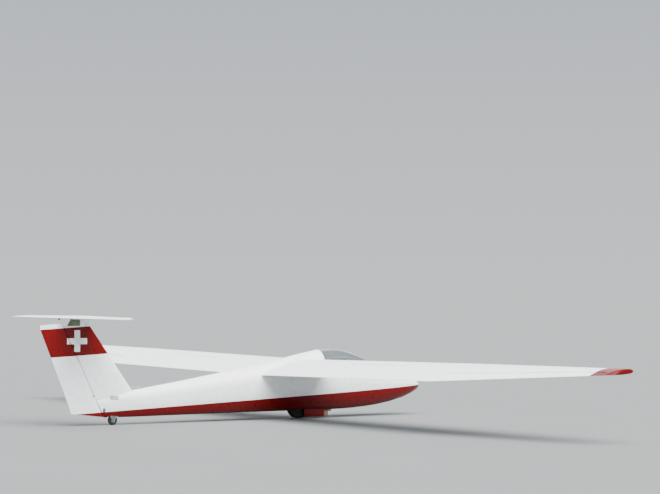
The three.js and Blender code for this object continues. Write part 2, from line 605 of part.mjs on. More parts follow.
for (const [side, sign] of [['port', 1], ['starboard', -1]]) {
  const outer = sign * (WELL.half - SEAT_GAP);
  const innerFace = sign * (WELL.half - SEAT_GAP - DOOR.thick);
  piece(`gear_door_${side}`, box(DOOR.rear, DOOR.front, Math.min(outer, innerFace),
    Math.max(outer, innerFace), DOOR.foot, DOOR.top), RED);
}

// Tail wheel
const tailProfile = [
  [6.4, -TAIL_WHEEL.half + 4], [TAIL_WHEEL.radius - 20, -TAIL_WHEEL.half],
  [TAIL_WHEEL.radius - 5, -TAIL_WHEEL.half + 2], [TAIL_WHEEL.radius, -TAIL_WHEEL.flat],
  [TAIL_WHEEL.radius, TAIL_WHEEL.flat], [TAIL_WHEEL.radius - 5, TAIL_WHEEL.half - 2],
  [TAIL_WHEEL.radius - 20, TAIL_WHEEL.half], [6.4, TAIL_WHEEL.half - 4],
  [6.4, -TAIL_WHEEL.half + 4]];
piece('tail_wheel', wheelShape(tailProfile, TAIL_WHEEL.x, TAIL_WHEEL.radius, 32), RUBBER);
const cheekFace = TAIL_WHEEL.cheek - SEAT_GAP;
const acrossTail = (reach, radius) => rod(
  [TAIL_WHEEL.x, -reach, TAIL_WHEEL.radius], [TAIL_WHEEL.x, reach, TAIL_WHEEL.radius], radius);
piece('tail_axle', acrossTail(cheekFace, TAIL_WHEEL.axle), STEEL);
const forkHead = { half: 60, foot: 130, under: 160, top: TAIL_WHEEL.arch - 10 };
const tailCheek = (y0, y1) => plate([
  [TAIL_WHEEL.x - 16, TAIL_WHEEL.radius - 16], [TAIL_WHEEL.x + 16, TAIL_WHEEL.radius - 16],
  [TAIL_WHEEL.x + forkHead.half, forkHead.foot], [TAIL_WHEEL.x + forkHead.half, forkHead.top],
  [TAIL_WHEEL.x - forkHead.half, forkHead.top], [TAIL_WHEEL.x - forkHead.half, forkHead.foot],
], y0, y1);
piece('tail_wheel_fork', cut(join(
  tailCheek(cheekFace - 6.7, cheekFace), tailCheek(-cheekFace, 6.7 - cheekFace),
  box(TAIL_WHEEL.x - forkHead.half, TAIL_WHEEL.x + forkHead.half, -cheekFace, cheekFace,
    forkHead.under, forkHead.top)), acrossTail(60, TAIL_WHEEL.axle + SEAT_GAP)), STEEL);

// Canopy: a frame round a glass, hinged at the starboard sill
const canopyShell = (wall) => cut(hull(0, HULL.slice(2)), hull(wall, HULL.slice(2)));
const hingePoint = ({ x, y }) => new THREE.Vector3(x, y, sillZ(x));
const hingeAxis = hingePoint(HINGES[1]).sub(hingePoint(HINGES[0])).normalize();
const alongHinge = (hinge, distance) => hingePoint(hinge).addScaledVector(hingeAxis, distance).toArray();
const lugs = HINGES.flatMap((hinge) => [-1, 1].map((side) => {
  const near = side * (HINGE.fixed / 2 + 1);
  const far = side * (HINGE.fixed / 2 + HINGE.lug);
  const centre = (near + far) / 2;
  const [x, y, z] = alongHinge(hinge, centre);
  const web = box(x - HINGE.lug / 2 + 1, x + HINGE.lug / 2 - 1, y, y + 32, z + 2, z + 6);
  return join(rod(alongHinge(hinge, near), alongHinge(hinge, far), HINGE.radius),
    cut(web, hull(2, HULL.slice(2))));
}));
piece('canopy_frame', join(
  cut(common(canopyShell(CANOPY_WALL), canopyRegion(SEAT_GAP)), glassRegion(0)), ...lugs), WHITE);
piece('canopy_glass', common(canopyShell(GLASS_WALL), glassRegion(SEAT_GAP)), GLASS);
for (const hinge of HINGES) {
  const [x, y, z] = hingePoint(hinge).toArray();
  const half = HINGE.fixed / 2;
  const leaf = cut(box(x - half + 3, x + half - 3, y - 3, y + 60, z - 30, z), hull(-SEAT_GAP));
  piece(`canopy_hinge_${hinge.name}`, join(
    rod(alongHinge(hinge, -half), alongHinge(hinge, half), HINGE.radius),
    common(leaf, box(x - half, x + half, y - 3, y + 60, z - 30, z))), STEEL);
}
const handleZ = sillZ(1960) + 18;
piece('canopy_handle', common(hull(CANOPY_WALL + SEAT_GAP), join(
  rod([1960, 215, handleZ], [1960, 300, handleZ], 7),
  rod([1925, 220, handleZ], [1995, 220, handleZ], 8))), DARK);

// Cockpit: what stands on the floor starts a seat gap above it
const inside = hull(HULL_WALL + SEAT_GAP);
const floorZ = FLOOR.top + SEAT_GAP;
piece('cockpit_floor', common(inside, box(
  COCKPIT_REAR_X + SEAT_GAP, FLOOR.front, -400, 400, FLOOR.bottom, FLOOR.top)), GREY);
const seatLine = [[2190, 312], [2150, 320], [1850, 262], [1770, 286], [1600, 690]];
const seatUnder = seatLine.map(([x, z]) => [x - 4, z - 12]).reverse();
const seatBack = seatLine.at(-1);
piece('seat_pan', common(join(plate([...seatLine, ...seatUnder], -SEAT_HALF, SEAT_HALF),
  box(2120, 2136, 10 - SEAT_HALF, SEAT_HALF - 10, floorZ, 312),
  box(1830, 1846, 10 - SEAT_HALF, SEAT_HALF - 10, floorZ, 262)), inside), GREY);
piece('headrest', box(seatBack[0] - 12, seatBack[0] + 22, -80, 80,
  seatBack[1] + SEAT_GAP, seatBack[1] + 120), CUSHION);
const panelSlice = (z0, z1) => box(PANEL.x, PANEL.x + PANEL.thick, -400, 400, z0, z1);
piece('instrument_panel', join(
  common(inside, panelSlice(PANEL.foot, PANEL.hood + 40)),
  common(hull(PANEL.margin), panelSlice(PANEL.hood, PANEL.head))), DARK);
piece('control_stick', join(
  rod([2290, 0, floorZ], [2290, 0, floorZ + 26], 34),
  rod([2290, 0, floorZ + 10], [2215, 0, 560], 11),
  rod([2215, 0, 556], [2200, 0, 640], 17)), DARK);
for (const [side, y] of Object.entries(PEDAL.places)) {
  piece(`rudder_pedal_${side}`, common(inside, join(
    box(PEDAL.x, PEDAL.x + 12, y - PEDAL.half, y + PEDAL.half, PEDAL.foot, PEDAL.head),
    box(PEDAL.x - 2, PEDAL.x + 14, y - 8, y + 8, floorZ, PEDAL.foot + 10))), ALLOY);
}
const leverRods = [
  // from, to, radius: the push rod, its two brackets on the wall, the crank and the grip
  [[1900, 262, LEVER_Z], [2320, 247, LEVER_Z], 8],
  [[1930, 255, LEVER_Z], [1930, 310, LEVER_Z], 6],
  [[2280, 248, LEVER_Z], [2280, 310, LEVER_Z], 6],
  [[2320, 247, LEVER_Z], [2320, 215, LEVER_Z + 15], 9],
  [[2320, 220, LEVER_Z + 12], [2320, 180, LEVER_Z + 32], 15],
].map(([from, to, radius]) => rod(from, to, radius));
piece('airbrake_lever', common(inside, join(...leverRods)), BLUE);

// Tow hook under the belly, ahead of the wheel well
piece('tow_hook', cut(box(TOW_HOOK.x - 30, TOW_HOOK.x + 30, -14, 14, TOW_HOOK.foot, 160),
  outside.clone().translate(0, 0, -SEAT_GAP)), STEEL);

export default group;
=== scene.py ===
"""A single-seat all-metal sailplane, parked on its main wheel and tail wheel.

Metres. +X points to the nose, +Y to the port wing, +Z up. The starboard side faces the camera.
"""
import json
import math

import bmesh
import bpy
from mathutils import Matrix, Vector
from mathutils.bvhtree import BVHTree


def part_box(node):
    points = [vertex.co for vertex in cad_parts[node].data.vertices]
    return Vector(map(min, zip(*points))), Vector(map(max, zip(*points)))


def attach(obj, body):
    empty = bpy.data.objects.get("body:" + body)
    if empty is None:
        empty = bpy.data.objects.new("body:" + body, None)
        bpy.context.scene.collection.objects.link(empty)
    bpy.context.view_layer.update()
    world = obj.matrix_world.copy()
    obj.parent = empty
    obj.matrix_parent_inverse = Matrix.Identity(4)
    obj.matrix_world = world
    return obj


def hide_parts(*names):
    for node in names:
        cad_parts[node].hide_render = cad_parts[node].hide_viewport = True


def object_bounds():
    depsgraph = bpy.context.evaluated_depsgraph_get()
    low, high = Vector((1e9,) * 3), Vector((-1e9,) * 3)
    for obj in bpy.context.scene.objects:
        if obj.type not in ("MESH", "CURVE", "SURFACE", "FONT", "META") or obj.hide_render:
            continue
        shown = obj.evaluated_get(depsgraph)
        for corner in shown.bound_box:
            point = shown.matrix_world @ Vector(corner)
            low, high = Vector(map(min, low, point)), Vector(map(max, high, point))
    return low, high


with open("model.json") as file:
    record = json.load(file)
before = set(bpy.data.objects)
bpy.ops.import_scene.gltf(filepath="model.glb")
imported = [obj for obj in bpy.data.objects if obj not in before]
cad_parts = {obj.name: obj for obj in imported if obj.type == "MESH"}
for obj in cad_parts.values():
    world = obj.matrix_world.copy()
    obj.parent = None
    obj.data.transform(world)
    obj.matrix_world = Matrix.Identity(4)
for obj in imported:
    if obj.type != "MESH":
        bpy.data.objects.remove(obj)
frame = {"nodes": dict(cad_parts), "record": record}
CAD_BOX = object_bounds()
SLOT_OF = {part["node"]: part["material_slot"] for part in frame["record"]["subparts"]}
BODY_OF = {
    node: body
    for body, nodes in frame["record"]["behaviour"]["bodies"].items()
    for node in nodes
}
MM = 0.001
SIDES = (("port", 1), ("starboard", -1))

# Camera: the photograph's own viewing angle, found by fitting the aircraft's span and length
CAMERA_LENS_MM = 136.36
CAMERA_PLACE = (-19.528, -31.653, 2.119)
CAMERA_TURN_DEG = (90.7026, 0.0, -33.779)

# Studio: one broad soft light high on the starboard side, one weak one on the far side.
# Both are far away, so that the floor is evenly lit out to the horizon.
FLOOR_RADIUS = 900.0
KEY_LIGHT = {"from_way": (-0.10, -0.50, 0.86), "spread_deg": 66.0, "strength": 12.5}
FILL_LIGHT = {"from_way": (0.5, 0.75, 0.45), "spread_deg": 40.0, "strength": 0.5}
SKY = {"horizon": "#eff3f8", "overhead": "#aab6c6", "fade_height": 0.30, "strength": 0.95}

# Paint scheme
BELLY_LINE = {"height": 0.300, "rise": 0.048}
FIN_BAND = {
    "low": ((-3.116, 0.984), (-2.236, 1.028)),
    "high": ((-3.286, 1.382), (-2.492, 1.427)),
}
CROSS = {
    "upright": ((-2.757, -2.668), (1.062, 1.370)),
    "arms": ((-2.872, -2.556), (1.171, 1.256)),
}
TIP_LINE = {"reach": 7.168, "slant": 0.09, "at_x": 0.95}
# Behind this line the fairing under the tailplane is painted in shade: the tailplane's shade, greyish
# green like grass light reflected there
FAIRING_SHADE_EDGE_X = -2.666

# Sheet metal work, in millimetres
RIVET = {"pitch": 38, "radius": 3.4, "height": 1.1}
LAP = {"half_width": 12, "lift": 0.8}


# Colours and nodes

def linear(hex_colour, alpha=1.0):
    """An sRGB hex colour as the linear values that the shaders take."""
    parts = [int(hex_colour[i:i + 2], 16) / 255 for i in (1, 3, 5)]
    curve = [c / 12.92 if c <= 0.04045 else ((c + 0.055) / 1.055) ** 2.4 for c in parts]
    return (*curve, alpha)


def add_node(tree, kind, inputs=None, **settings):
    """Adds a node, sets its properties, and sets or links its inputs by name or number."""
    node = tree.nodes.new(kind)
    for key, value in settings.items():
        setattr(node, key, value)
    for key, value in (inputs or {}).items():
        socket = node.inputs[key]
        if isinstance(value, bpy.types.NodeSocket):
            tree.links.new(value, socket)
        else:
            socket.default_value = value
    return node


def new_material(name, **uniform):
    """A material with one Principled shader, whose even values are set on its own sockets."""
    material = bpy.data.materials.new(name)
    material.use_nodes = True
    tree = material.node_tree
    tree.nodes.clear()
    shader = add_node(tree, "ShaderNodeBsdfPrincipled", {
        key.replace("_", " "): value for key, value in uniform.items()})
    add_node(tree, "ShaderNodeOutputMaterial", {"Surface": shader.outputs[0]})
    return material, tree, shader


def place_of(tree):
    """The point on the object, in metres, and its three coordinates."""
    point = add_node(tree, "ShaderNodeTexCoord").outputs["Object"]
    parts = add_node(tree, "ShaderNodeSeparateXYZ", {0: point})
    return point, parts.outputs[0], parts.outputs[1], parts.outputs[2]


def weather(tree, shader, point, colour, grime, strength, bump_mm):
    """Faint grime over a colour, a rougher shine where it lies, and the buckle of thin sheet."""
    # Thin sheet buckles between its frames about 250 mm apart, and grime lies in 60 mm clouds
    buckle = add_node(tree, "ShaderNodeTexNoise", {"Vector": point, "Scale": 4.0, "Detail": 1.0})
    clouds = add_node(tree, "ShaderNodeTexNoise", {
        "Vector": point, "Scale": 16.0, "Detail": 6.0, "Roughness": 0.62})
    amount = add_node(tree, "ShaderNodeMapRange", {
        0: clouds.outputs[0], 1: 0.42, 2: 0.75, 3: 0.0, 4: strength})
    mixed = add_node(tree, "ShaderNodeMix", {
        "Factor": amount.outputs[0], "A": colour, "B": linear(grime)},
        data_type="RGBA", blend_type="MULTIPLY")
    shine = add_node(tree, "ShaderNodeMapRange", {
        0: clouds.outputs[0], 1: 0.3, 2: 0.8, 3: 0.24, 4: 0.42})
    bump = add_node(tree, "ShaderNodeBump", {
        "Strength": 0.35, "Distance": bump_mm * MM, "Height": buckle.outputs[0]})
    tree.links.new(mixed.outputs["Result"], shader.inputs["Base Color"])
    tree.links.new(shine.outputs[0], shader.inputs["Roughness"])
    tree.links.new(bump.outputs[0], shader.inputs["Normal"])


def step_at(tree, value, edge, above=True):
    """1 where a value is above an edge, or below it, with a paint edge about 2 mm wide."""
    soft = 1.0 * MM
    low, high = (0.0, 1.0) if above else (1.0, 0.0)
    centred = add_node(tree, "ShaderNodeMath", {0: value, 1: edge}, operation="SUBTRACT")
    return add_node(tree, "ShaderNodeMapRange", {
        0: centred.outputs[0], 1: -soft, 2: soft, 3: low, 4: high}).outputs[0]


def along_line(tree, coordinate, start, end):
    """The height of a straight line over a coordinate."""
    rise = (end[1] - start[1]) / (end[0] - start[0])
    return add_node(tree, "ShaderNodeMath", {
        0: coordinate, 1: rise, 2: start[1] - rise * start[0]}, operation="MULTIPLY_ADD").outputs[0]


def product(tree, *factors):
    """All the factors multiplied."""
    result = factors[0]
    for factor in factors[1:]:
        times = add_node(tree, "ShaderNodeMath", {0: result, 1: factor}, operation="MULTIPLY")
        result = times.outputs[0]
    return result


def within(tree, value, low, high):
    """1 between two edges."""
    return product(tree, step_at(tree, value, low), step_at(tree, value, high, above=False))


# Paints, metals, rubber, cloth

WHITE = "#f4f5f6"
RED = "#660001"
DEEP_RED = "#5a0001"
GRIME = "#b7b2a4"
GRIMY_WHITE = "#bfc1c2"
GRIMY_RED = "#590001"
# Painted shade for the fairing's rear under the tailplane, grey-green like grass light reflected in
# shade
TAILPLANE_SHADE_GREEN = "#6a725d"
FLOOR_SHADES = ("#747776", "#797c7b")
SHEET_BUCKLE_MM = 1.4


def two_tone(tree, mask, first, second):
    """One paint where the mask is 0 and another where it is 1."""
    return add_node(tree, "ShaderNodeMix", {
        "Factor": mask, "A": linear(first), "B": linear(second)}, data_type="RGBA").outputs["Result"]


def enamel(name, mask_of=None, ground=WHITE, figure=RED, grime=0.22):
    """Sprayed enamel on aluminium sheet: an even colour under a clear gloss, a little buckled."""
    material, tree, shader = new_material(
        name, IOR=1.5, Specular_IOR_Level=0.22, Coat_Weight=0.04, Coat_Roughness=0.06)
    point, x, y, z = place_of(tree)
    mask = mask_of(tree, x, y, z) if mask_of else 0.0
    weather(tree, shader, point, two_tone(tree, mask, ground, figure), GRIME, grime,
            SHEET_BUCKLE_MM)
    return material


def belly_mask(tree, x, y, z):
    """Red below a line that rises a little towards the nose."""
    start = (0.0, BELLY_LINE["height"])
    end = (1.0, BELLY_LINE["height"] + BELLY_LINE["rise"])
    return step_at(tree, z, along_line(tree, x, start, end), above=False)


def tail_mask(tree, x, y, z):
    """A red band over fin and rudder with an upright white cross, and the red foot of the hull."""
    band = product(
        tree,
        step_at(tree, z, along_line(tree, x, *FIN_BAND["low"])),
        step_at(tree, z, along_line(tree, x, *FIN_BAND["high"]), above=False))
    bars = [product(tree, within(tree, x, *across), within(tree, z, *up))
            for across, up in CROSS.values()]
    cross = add_node(tree, "ShaderNodeMath", {0: bars[0], 1: bars[1]}, operation="MAXIMUM").outputs[0]
    open_band = add_node(tree, "ShaderNodeMath", {0: 1.0, 1: cross}, operation="SUBTRACT").outputs[0]
    red_band = product(tree, band, open_band)
    return add_node(tree, "ShaderNodeMath", {
        0: red_band, 1: belly_mask(tree, x, y, z)}, operation="MAXIMUM").outputs[0]


def tip_mask(tree, x, y, z):
    """Red outside a line across each wing that slants a little outwards towards the rear."""
    out = add_node(tree, "ShaderNodeMath", {0: y}, operation="ABSOLUTE").outputs[0]
    start = (TIP_LINE["at_x"], TIP_LINE["reach"])
    end = (TIP_LINE["at_x"] + 1.0, TIP_LINE["reach"] - TIP_LINE["slant"])
    return step_at(tree, out, along_line(tree, x, start, end))


def fairing_shade_mask(tree, x, y, z):
    """White on the front of the fairing below the tailplane, ahead of an upright line, and a painted
    shade of the tailplane behind it.
    """
    return step_at(tree, x, FAIRING_SHADE_EDGE_X)


def brushed_metal(name, colour, roughness, grain_mm):
    """Bare worked metal: bright, with fine streaks from the mill that blur its reflections."""
    material, tree, shader = new_material(name, Metallic=1.0)
    point = place_of(tree)[0]
    stretched = add_node(tree, "ShaderNodeMapping", {
        "Vector": point, "Scale": (1 / (12 * grain_mm * MM), 1 / (grain_mm * MM), 1 / (grain_mm * MM))})
    streaks = add_node(tree, "ShaderNodeTexNoise", {
        "Vector": stretched.outputs[0], "Scale": 1.0, "Detail": 3.0})
    spots = add_node(tree, "ShaderNodeTexNoise", {"Vector": point, "Scale": 22.0, "Detail": 5.0})
    tone = add_node(tree, "ShaderNodeMapRange", {0: spots.outputs[0], 1: 0.35, 2: 0.7, 3: 0.0, 4: 0.4})
    dull = tuple(0.55 * c for c in linear(colour)[:3]) + (1.0,)
    mixed = add_node(tree, "ShaderNodeMix", {
        "Factor": tone.outputs[0], "A": linear(colour), "B": dull}, data_type="RGBA")
    shine = add_node(tree, "ShaderNodeMapRange", {
        0: streaks.outputs[0], 1: 0.3, 2: 0.7, 3: roughness - 0.08, 4: roughness + 0.1})
    bump = add_node(tree, "ShaderNodeBump", {
        "Strength": 0.3, "Distance": 0.15 * MM, "Height": streaks.outputs[0]})
    tree.links.new(mixed.outputs["Result"], shader.inputs["Base Color"])
    tree.links.new(shine.outputs[0], shader.inputs["Roughness"])
    tree.links.new(bump.outputs[0], shader.inputs["Normal"])
    return material


def mottled(name, colour, second, spot_mm, roughness, bump_mm, **uniform):
    """A dull material with a fine grain of two shades, as rubber, crackle paint or felt has."""
    material, tree, shader = new_material(name, Roughness=roughness, **uniform)
    point = place_of(tree)[0]
    grain = add_node(tree, "ShaderNodeTexNoise", {
        "Vector": point, "Scale": 1 / (spot_mm * MM), "Detail": 4.0, "Roughness": 0.6})
    bump = add_node(tree, "ShaderNodeBump", {
        "Strength": 0.5, "Distance": bump_mm * MM, "Height": grain.outputs[0]})
    tone = two_tone(tree, grain.outputs[0], colour, second)
    tree.links.new(tone, shader.inputs["Base Color"])
    tree.links.new(bump.outputs[0], shader.inputs["Normal"])
    return material


def woven(name, warp, weft, thread_mm, roughness):
    """Cloth of two thread colours over and under each other, soft and without shine."""
    material, tree, shader = new_material(
        name, Roughness=roughness, Sheen_Weight=0.35, Sheen_Roughness=0.5)
    point = place_of(tree)[0]
    turns = math.pi / (thread_mm * MM) / 20
    threads = [add_node(tree, "ShaderNodeTexWave", {
        "Vector": point, "Scale": turns / math.pi, "Distortion": 0.4, "Detail": 1.0},
        bands_direction=direction).outputs["Fac"] for direction in ("X", "Y")]
    over = add_node(tree, "ShaderNodeMath", {0: threads[0], 1: threads[1]}, operation="MULTIPLY")
    bump = add_node(tree, "ShaderNodeBump", {
        "Strength": 0.6, "Distance": 0.5 * MM, "Height": over.outputs[0]})
    tree.links.new(two_tone(tree, over.outputs[0], warp, weft), shader.inputs["Base Color"])
    tree.links.new(bump.outputs[0], shader.inputs["Normal"])
    return material


def acrylic():
    """Blown acrylic sheet: clear, faintly grey, with fine wiping scratches in its shine."""
    material, tree, shader = new_material(
        "blown_acrylic", Base_Color=linear("#e4e8e7"), IOR=1.49, Transmission_Weight=1.0)
    point = place_of(tree)[0]
    wiped = add_node(tree, "ShaderNodeMapping", {"Vector": point, "Scale": (3.0, 40.0, 40.0)})
    scratches = add_node(tree, "ShaderNodeTexNoise", {
        "Vector": wiped.outputs[0], "Scale": 6.0, "Detail": 5.0})
    shine = add_node(tree, "ShaderNodeMapRange", {
        0: scratches.outputs[0], 1: 0.45, 2: 0.75, 3: 0.015, 4: 0.09})
    tree.links.new(shine.outputs[0], shader.inputs["Roughness"])
    return material


def studio_floor():
    """A pale matt floor with the faintest unevenness."""
    material, tree, shader = new_material("pale_floor", Roughness=0.85)
    point = place_of(tree)[0]
    drift = add_node(tree, "ShaderNodeTexNoise", {"Vector": point, "Scale": 0.4, "Detail": 2.0})
    tone = two_tone(tree, drift.outputs[0], *FLOOR_SHADES)
    tree.links.new(tone, shader.inputs["Base Color"])
    return material


HULL_ENAMEL = enamel("white_enamel_red_belly", belly_mask)
TAIL_ENAMEL = enamel("white_enamel_red_band", tail_mask)
WING_ENAMEL = enamel("white_enamel_red_tip", tip_mask, grime=0.16)
PLAIN_ENAMEL = enamel("white_enamel", grime=0.16)
# The fairing's rear carries a painted shade of the tailplane, and its front stays white
FAIRING_SHADE_ENAMEL = enamel("white_enamel_dull_green_rear", fairing_shade_mask, TAILPLANE_SHADE_GREEN, WHITE, grime=0.4)
DOOR_ENAMEL = enamel("red_enamel", ground=DEEP_RED)
COCKPIT_ENAMEL = enamel("grey_enamel", ground="#a3a6a5", grime=0.35)
ALLOY = brushed_metal("rolled_aluminium", "#c3c6ca", 0.36, 0.8)
STEEL = brushed_metal("plated_steel", "#8b8f93", 0.42, 0.6)
TYRE = mottled("tyre_rubber", "#141416", "#26262a", 3.0, 0.86, 0.4)
SEAL = mottled("seal_rubber", "#1b1b1c", "#2a2a2b", 2.0, 0.7, 0.2)
CRACKLE = mottled("black_crackle_paint", "#191a1c", "#2c2e31", 1.6, 0.62, 0.25)
KNOB = mottled("blue_moulded_grip", "#1f4fa8", "#1b4690", 6.0, 0.42, 0.1)
GRIP = mottled("black_moulded_grip", "#17181a", "#222326", 2.5, 0.55, 0.3)
CUSHION = woven("brown_wool_cloth", "#4a3f36", "#62564a", 1.6, 0.95)
WEBBING = woven("blue_grey_webbing", "#39414e", "#4d5766", 1.2, 0.8)
CANOPY_GLASS = acrylic()
# A pale tan grainy finish for the strip at each door's front end
PALE_TAN_STRIP = mottled("worn_ash_strip", "#7c6459", "#6b544a", 9.0, 0.8, 0.4)
PLATE_GREY = mottled("etched_plate", "#8f9498", "#a3a8ab", 2.5, 0.45, 0.1)
PIPING = woven("dark_wool_piping", "#2b2520", "#3a322b", 1.2, 0.9)
YELLOW_KNOB = mottled("yellow_moulded_knob", "#c99a12", "#b98b0c", 5.0, 0.4, 0.1)
RIVET_ENAMEL = {
    HULL_ENAMEL: enamel("grimy_enamel_red_belly", belly_mask, GRIMY_WHITE, GRIMY_RED, grime=0.5),
    WING_ENAMEL: enamel("grimy_enamel_red_tip", tip_mask, GRIMY_WHITE, GRIMY_RED, grime=0.5),
    TAIL_ENAMEL: enamel("grimy_enamel_red_band", tail_mask, GRIMY_WHITE, GRIMY_RED, grime=0.5),
    PLAIN_ENAMEL: enamel("grimy_enamel", ground=GRIMY_WHITE, grime=0.5),
    COCKPIT_ENAMEL: enamel("grimy_grey_enamel", ground="#7d807f", grime=0.5),
}


# Making pieces

def new_object(name, mesh, body, slot, *materials):
    """A finished piece: its mesh in place, its materials and its body. The slot it is given is not used.
    """
    obj = bpy.data.objects.new(name, mesh)
    bpy.context.scene.collection.objects.link(obj)
    for material in materials:
        if material.name not in mesh.materials:
            mesh.materials.append(material)
    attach(obj, body)
    return obj


def merged(node):
    """A CAD node's surface with its loose triangles joined."""
    bm = bmesh.new()
    bm.from_mesh(frame["nodes"][node].data)
    bmesh.ops.remove_doubles(bm, verts=bm.verts, dist=2e-5)
    return bm


def soften(mesh, sharp_deg):
    """Smooth shading, kept sharp at real edges, in place of flat shading that came with a copy."""
    if "custom_normal" in mesh.attributes:
        mesh.attributes.remove(mesh.attributes["custom_normal"])
    mesh.shade_smooth()
    mesh.set_sharp_from_angle(angle=math.radians(sharp_deg))


CABIN_AXIS_Z = 0.55
CABIN_REAR_X = 0.80
WELL = {"half": 0.13, "above": 0.30}


def is_inner(face):
    """Whether a face of a hollow piece looks into the cabin or the wheel well."""
    centre, way = face.calc_center_median(), face.normal
    to_cabin = way.dot(Vector((0, centre.y, centre.z - CABIN_AXIS_Z))) < -1 * MM
    in_well = way.z < -0.9 and centre.z > WELL["above"] and abs(centre.y) < WELL["half"]
    return to_cabin or in_well


def is_bare(face):
    """Whether a face of an airbrake is its metal plate, and not the painted cap on it."""
    return face.normal.z < 0.7


def skin(node, material, sharp_deg, second=None, takes_second=None):
    """A node's surface as one joined, smooth-shaded sheet, with a second finish on some faces."""
    bm = merged(node)
    bm.normal_update()
    for face in bm.faces:
        face.material_index = 1 if second and takes_second(face) else 0
    mesh = bpy.data.meshes.new(node + "_skin")
    bm.to_mesh(mesh)
    bm.free()
    soften(mesh, sharp_deg)
    finishes = (material, second) if second else (material,)
    obj = new_object(node + "_skin", mesh, BODY_OF[node], SLOT_OF[node], *finishes)
    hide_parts(node)
    return obj


SKINS = {
    HULL_ENAMEL: ("nose_cone", "cockpit_shell", "centre_fuselage", "turtle_deck", "tail_cone"),
    WING_ENAMEL: ("wing_port", "wing_starboard", "wing_tip_port", "wing_tip_starboard",
                  "aileron_port", "aileron_starboard"),
    TAIL_ENAMEL: ("fin", "rudder"),
    FAIRING_SHADE_ENAMEL: ("fin_cap",),
    PLAIN_ENAMEL: ("tailplane", "elevator", "canopy_frame", "airbrake_port", "airbrake_starboard"),
    COCKPIT_ENAMEL: ("cockpit_floor", "seat_pan"),
    CANOPY_GLASS: ("canopy_glass",),
    CRACKLE: ("instrument_panel", "elevator_horn"),
    GRIP: ("canopy_handle",),
    ALLOY: ("fin_probe", "rudder_pedal_port", "rudder_pedal_starboard"),
    STEEL: ("main_axle", "main_gear_fork", "tail_axle", "tail_wheel_fork",
            "canopy_hinge_rear", "canopy_hinge_front"),
}
SECOND_FINISH = {
    "cockpit_shell": (COCKPIT_ENAMEL, is_inner),
    "centre_fuselage": (COCKPIT_ENAMEL, is_inner),
    "canopy_frame": (COCKPIT_ENAMEL, is_inner),
    "airbrake_port": (ALLOY, is_bare),
    "airbrake_starboard": (ALLOY, is_bare),
}
SHARP_DEG = {WING_ENAMEL: 48, TAIL_ENAMEL: 48, PLAIN_ENAMEL: 48}
for material, nodes in SKINS.items():
    for node in nodes:
        skin(node, material, SHARP_DEG.get(material, 24), *SECOND_FINISH.get(node, ()))


# Making shapes

def prepared(name, bm, body, slot, *materials, sharp_deg=32):
    """A piece from a finished mesh, with its faces out and its real edges sharp."""
    bmesh.ops.recalc_face_normals(bm, faces=bm.faces)
    mesh = bpy.data.meshes.new(name)
    bm.to_mesh(mesh)
    bm.free()
    soften(mesh, sharp_deg)
    return new_object(name, mesh, body, slot, *materials)


def turned(bm, profile, place, axis, segments=32):
    """A body turned on a lathe: radii and heights in millimetres, along an axis from a place.

    A profile that starts and ends at one point closes on itself, as a ring does.
    """
    at = Matrix.Translation(place) @ Vector(axis).to_track_quat("Z", "Y").to_matrix().to_4x4()
    is_ring = profile[0] == profile[-1]
    rings = []
    for radius, height in profile[:-1] if is_ring else profile:
        angles = [math.tau * k / segments for k in range(1 if radius == 0 else segments)]
        rings.append([bm.verts.new(at @ Vector((
            radius * MM * math.cos(a), radius * MM * math.sin(a), height * MM))) for a in angles])
    if is_ring:
        rings.append(rings[0])
    for lower, upper in zip(rings, rings[1:]):
        for k in range(segments):
            corners = [ring[(k + step) % len(ring)] for ring, step in (
                (lower, 0), (lower, 1), (upper, 1), (upper, 0))]
            corners = list(dict.fromkeys(corners))
            if len(corners) > 2:
                bm.faces.new(corners)


def solid(*rim):
    """The profile of a solid turned body with two flat ends, from its rim's points."""
    return [(0, rim[0][1]), *rim, (0, rim[-1][1])]


def ringed(*points):
    """The profile of a turned ring."""
    return [*points, points[0]]


def hexagon_head(radius, height):
    """The profile of a bolt head or nut with a chamfered top."""
    return solid((radius, 0), (radius, height * 0.75), (radius * 0.82, height))


def swept(bm, points, section, up=(0, 0, 1), closed=False):
    """A bar along a path: its section lies across and out from the path, in millimetres."""
    points = [Vector(point) for point in points]
    count = len(points)
    rings = []
    for k, point in enumerate(points):
        before = points[(k - 1) % count] if closed or k > 0 else point
        after = points[(k + 1) % count] if closed or k < count - 1 else point
        along = (after - before).normalized()
        across = along.cross(Vector(up)).normalized()
        out = across.cross(along)
        rings.append([bm.verts.new(point + across * (a * MM) + out * (b * MM)) for a, b in section])
    if closed:
        rings.append(rings[0])
    sides = len(section)
    for lower, upper in zip(rings, rings[1:]):
        for k in range(sides):
            bm.faces.new((lower[k], lower[(k + 1) % sides], upper[(k + 1) % sides], upper[k]))
    if not closed:
        bm.faces.new(rings[0])
        bm.faces.new(rings[-1])


def round_section(radius, sides=10):
    """A round bar's section."""
    return [(radius * math.cos(math.tau * k / sides), radius * math.sin(math.tau * k / sides))
            for k in range(sides)]


def strap_section(width, thick):
    """A flat strap's section, lying on its path."""
    half = width / 2
    return [(-half, 0), (half, 0), (half, thick * 0.7), (half - thick, thick), (thick - half, thick),
            (-half, thick * 0.7)]


def block(bm, low, high, bevel):
    """A plate or block with its edges broken, between two corners in millimetres."""
    made = bmesh.ops.create_cube(bm, size=1.0)["verts"]
    low, high = Vector(low), Vector(high)
    for vert in made:
        vert.co = Vector((low[i] + (vert.co[i] + 0.5) * (high[i] - low[i])) * MM for i in range(3))
    edges = list({edge for vert in made for edge in vert.link_edges})
    bmesh.ops.bevel(bm, geom=edges, offset=bevel * MM, segments=2, affect="EDGES", profile=0.5)


def side_block(bm, sign, low, high, bevel):
    """A block on one side of the aircraft, given for the port side."""
    (x0, y0, z0), (x1, y1, z1) = low, high
    near, far = sorted((sign * y0, sign * y1))
    block(bm, (x0, near, z0), (x1, far, z1), bevel)


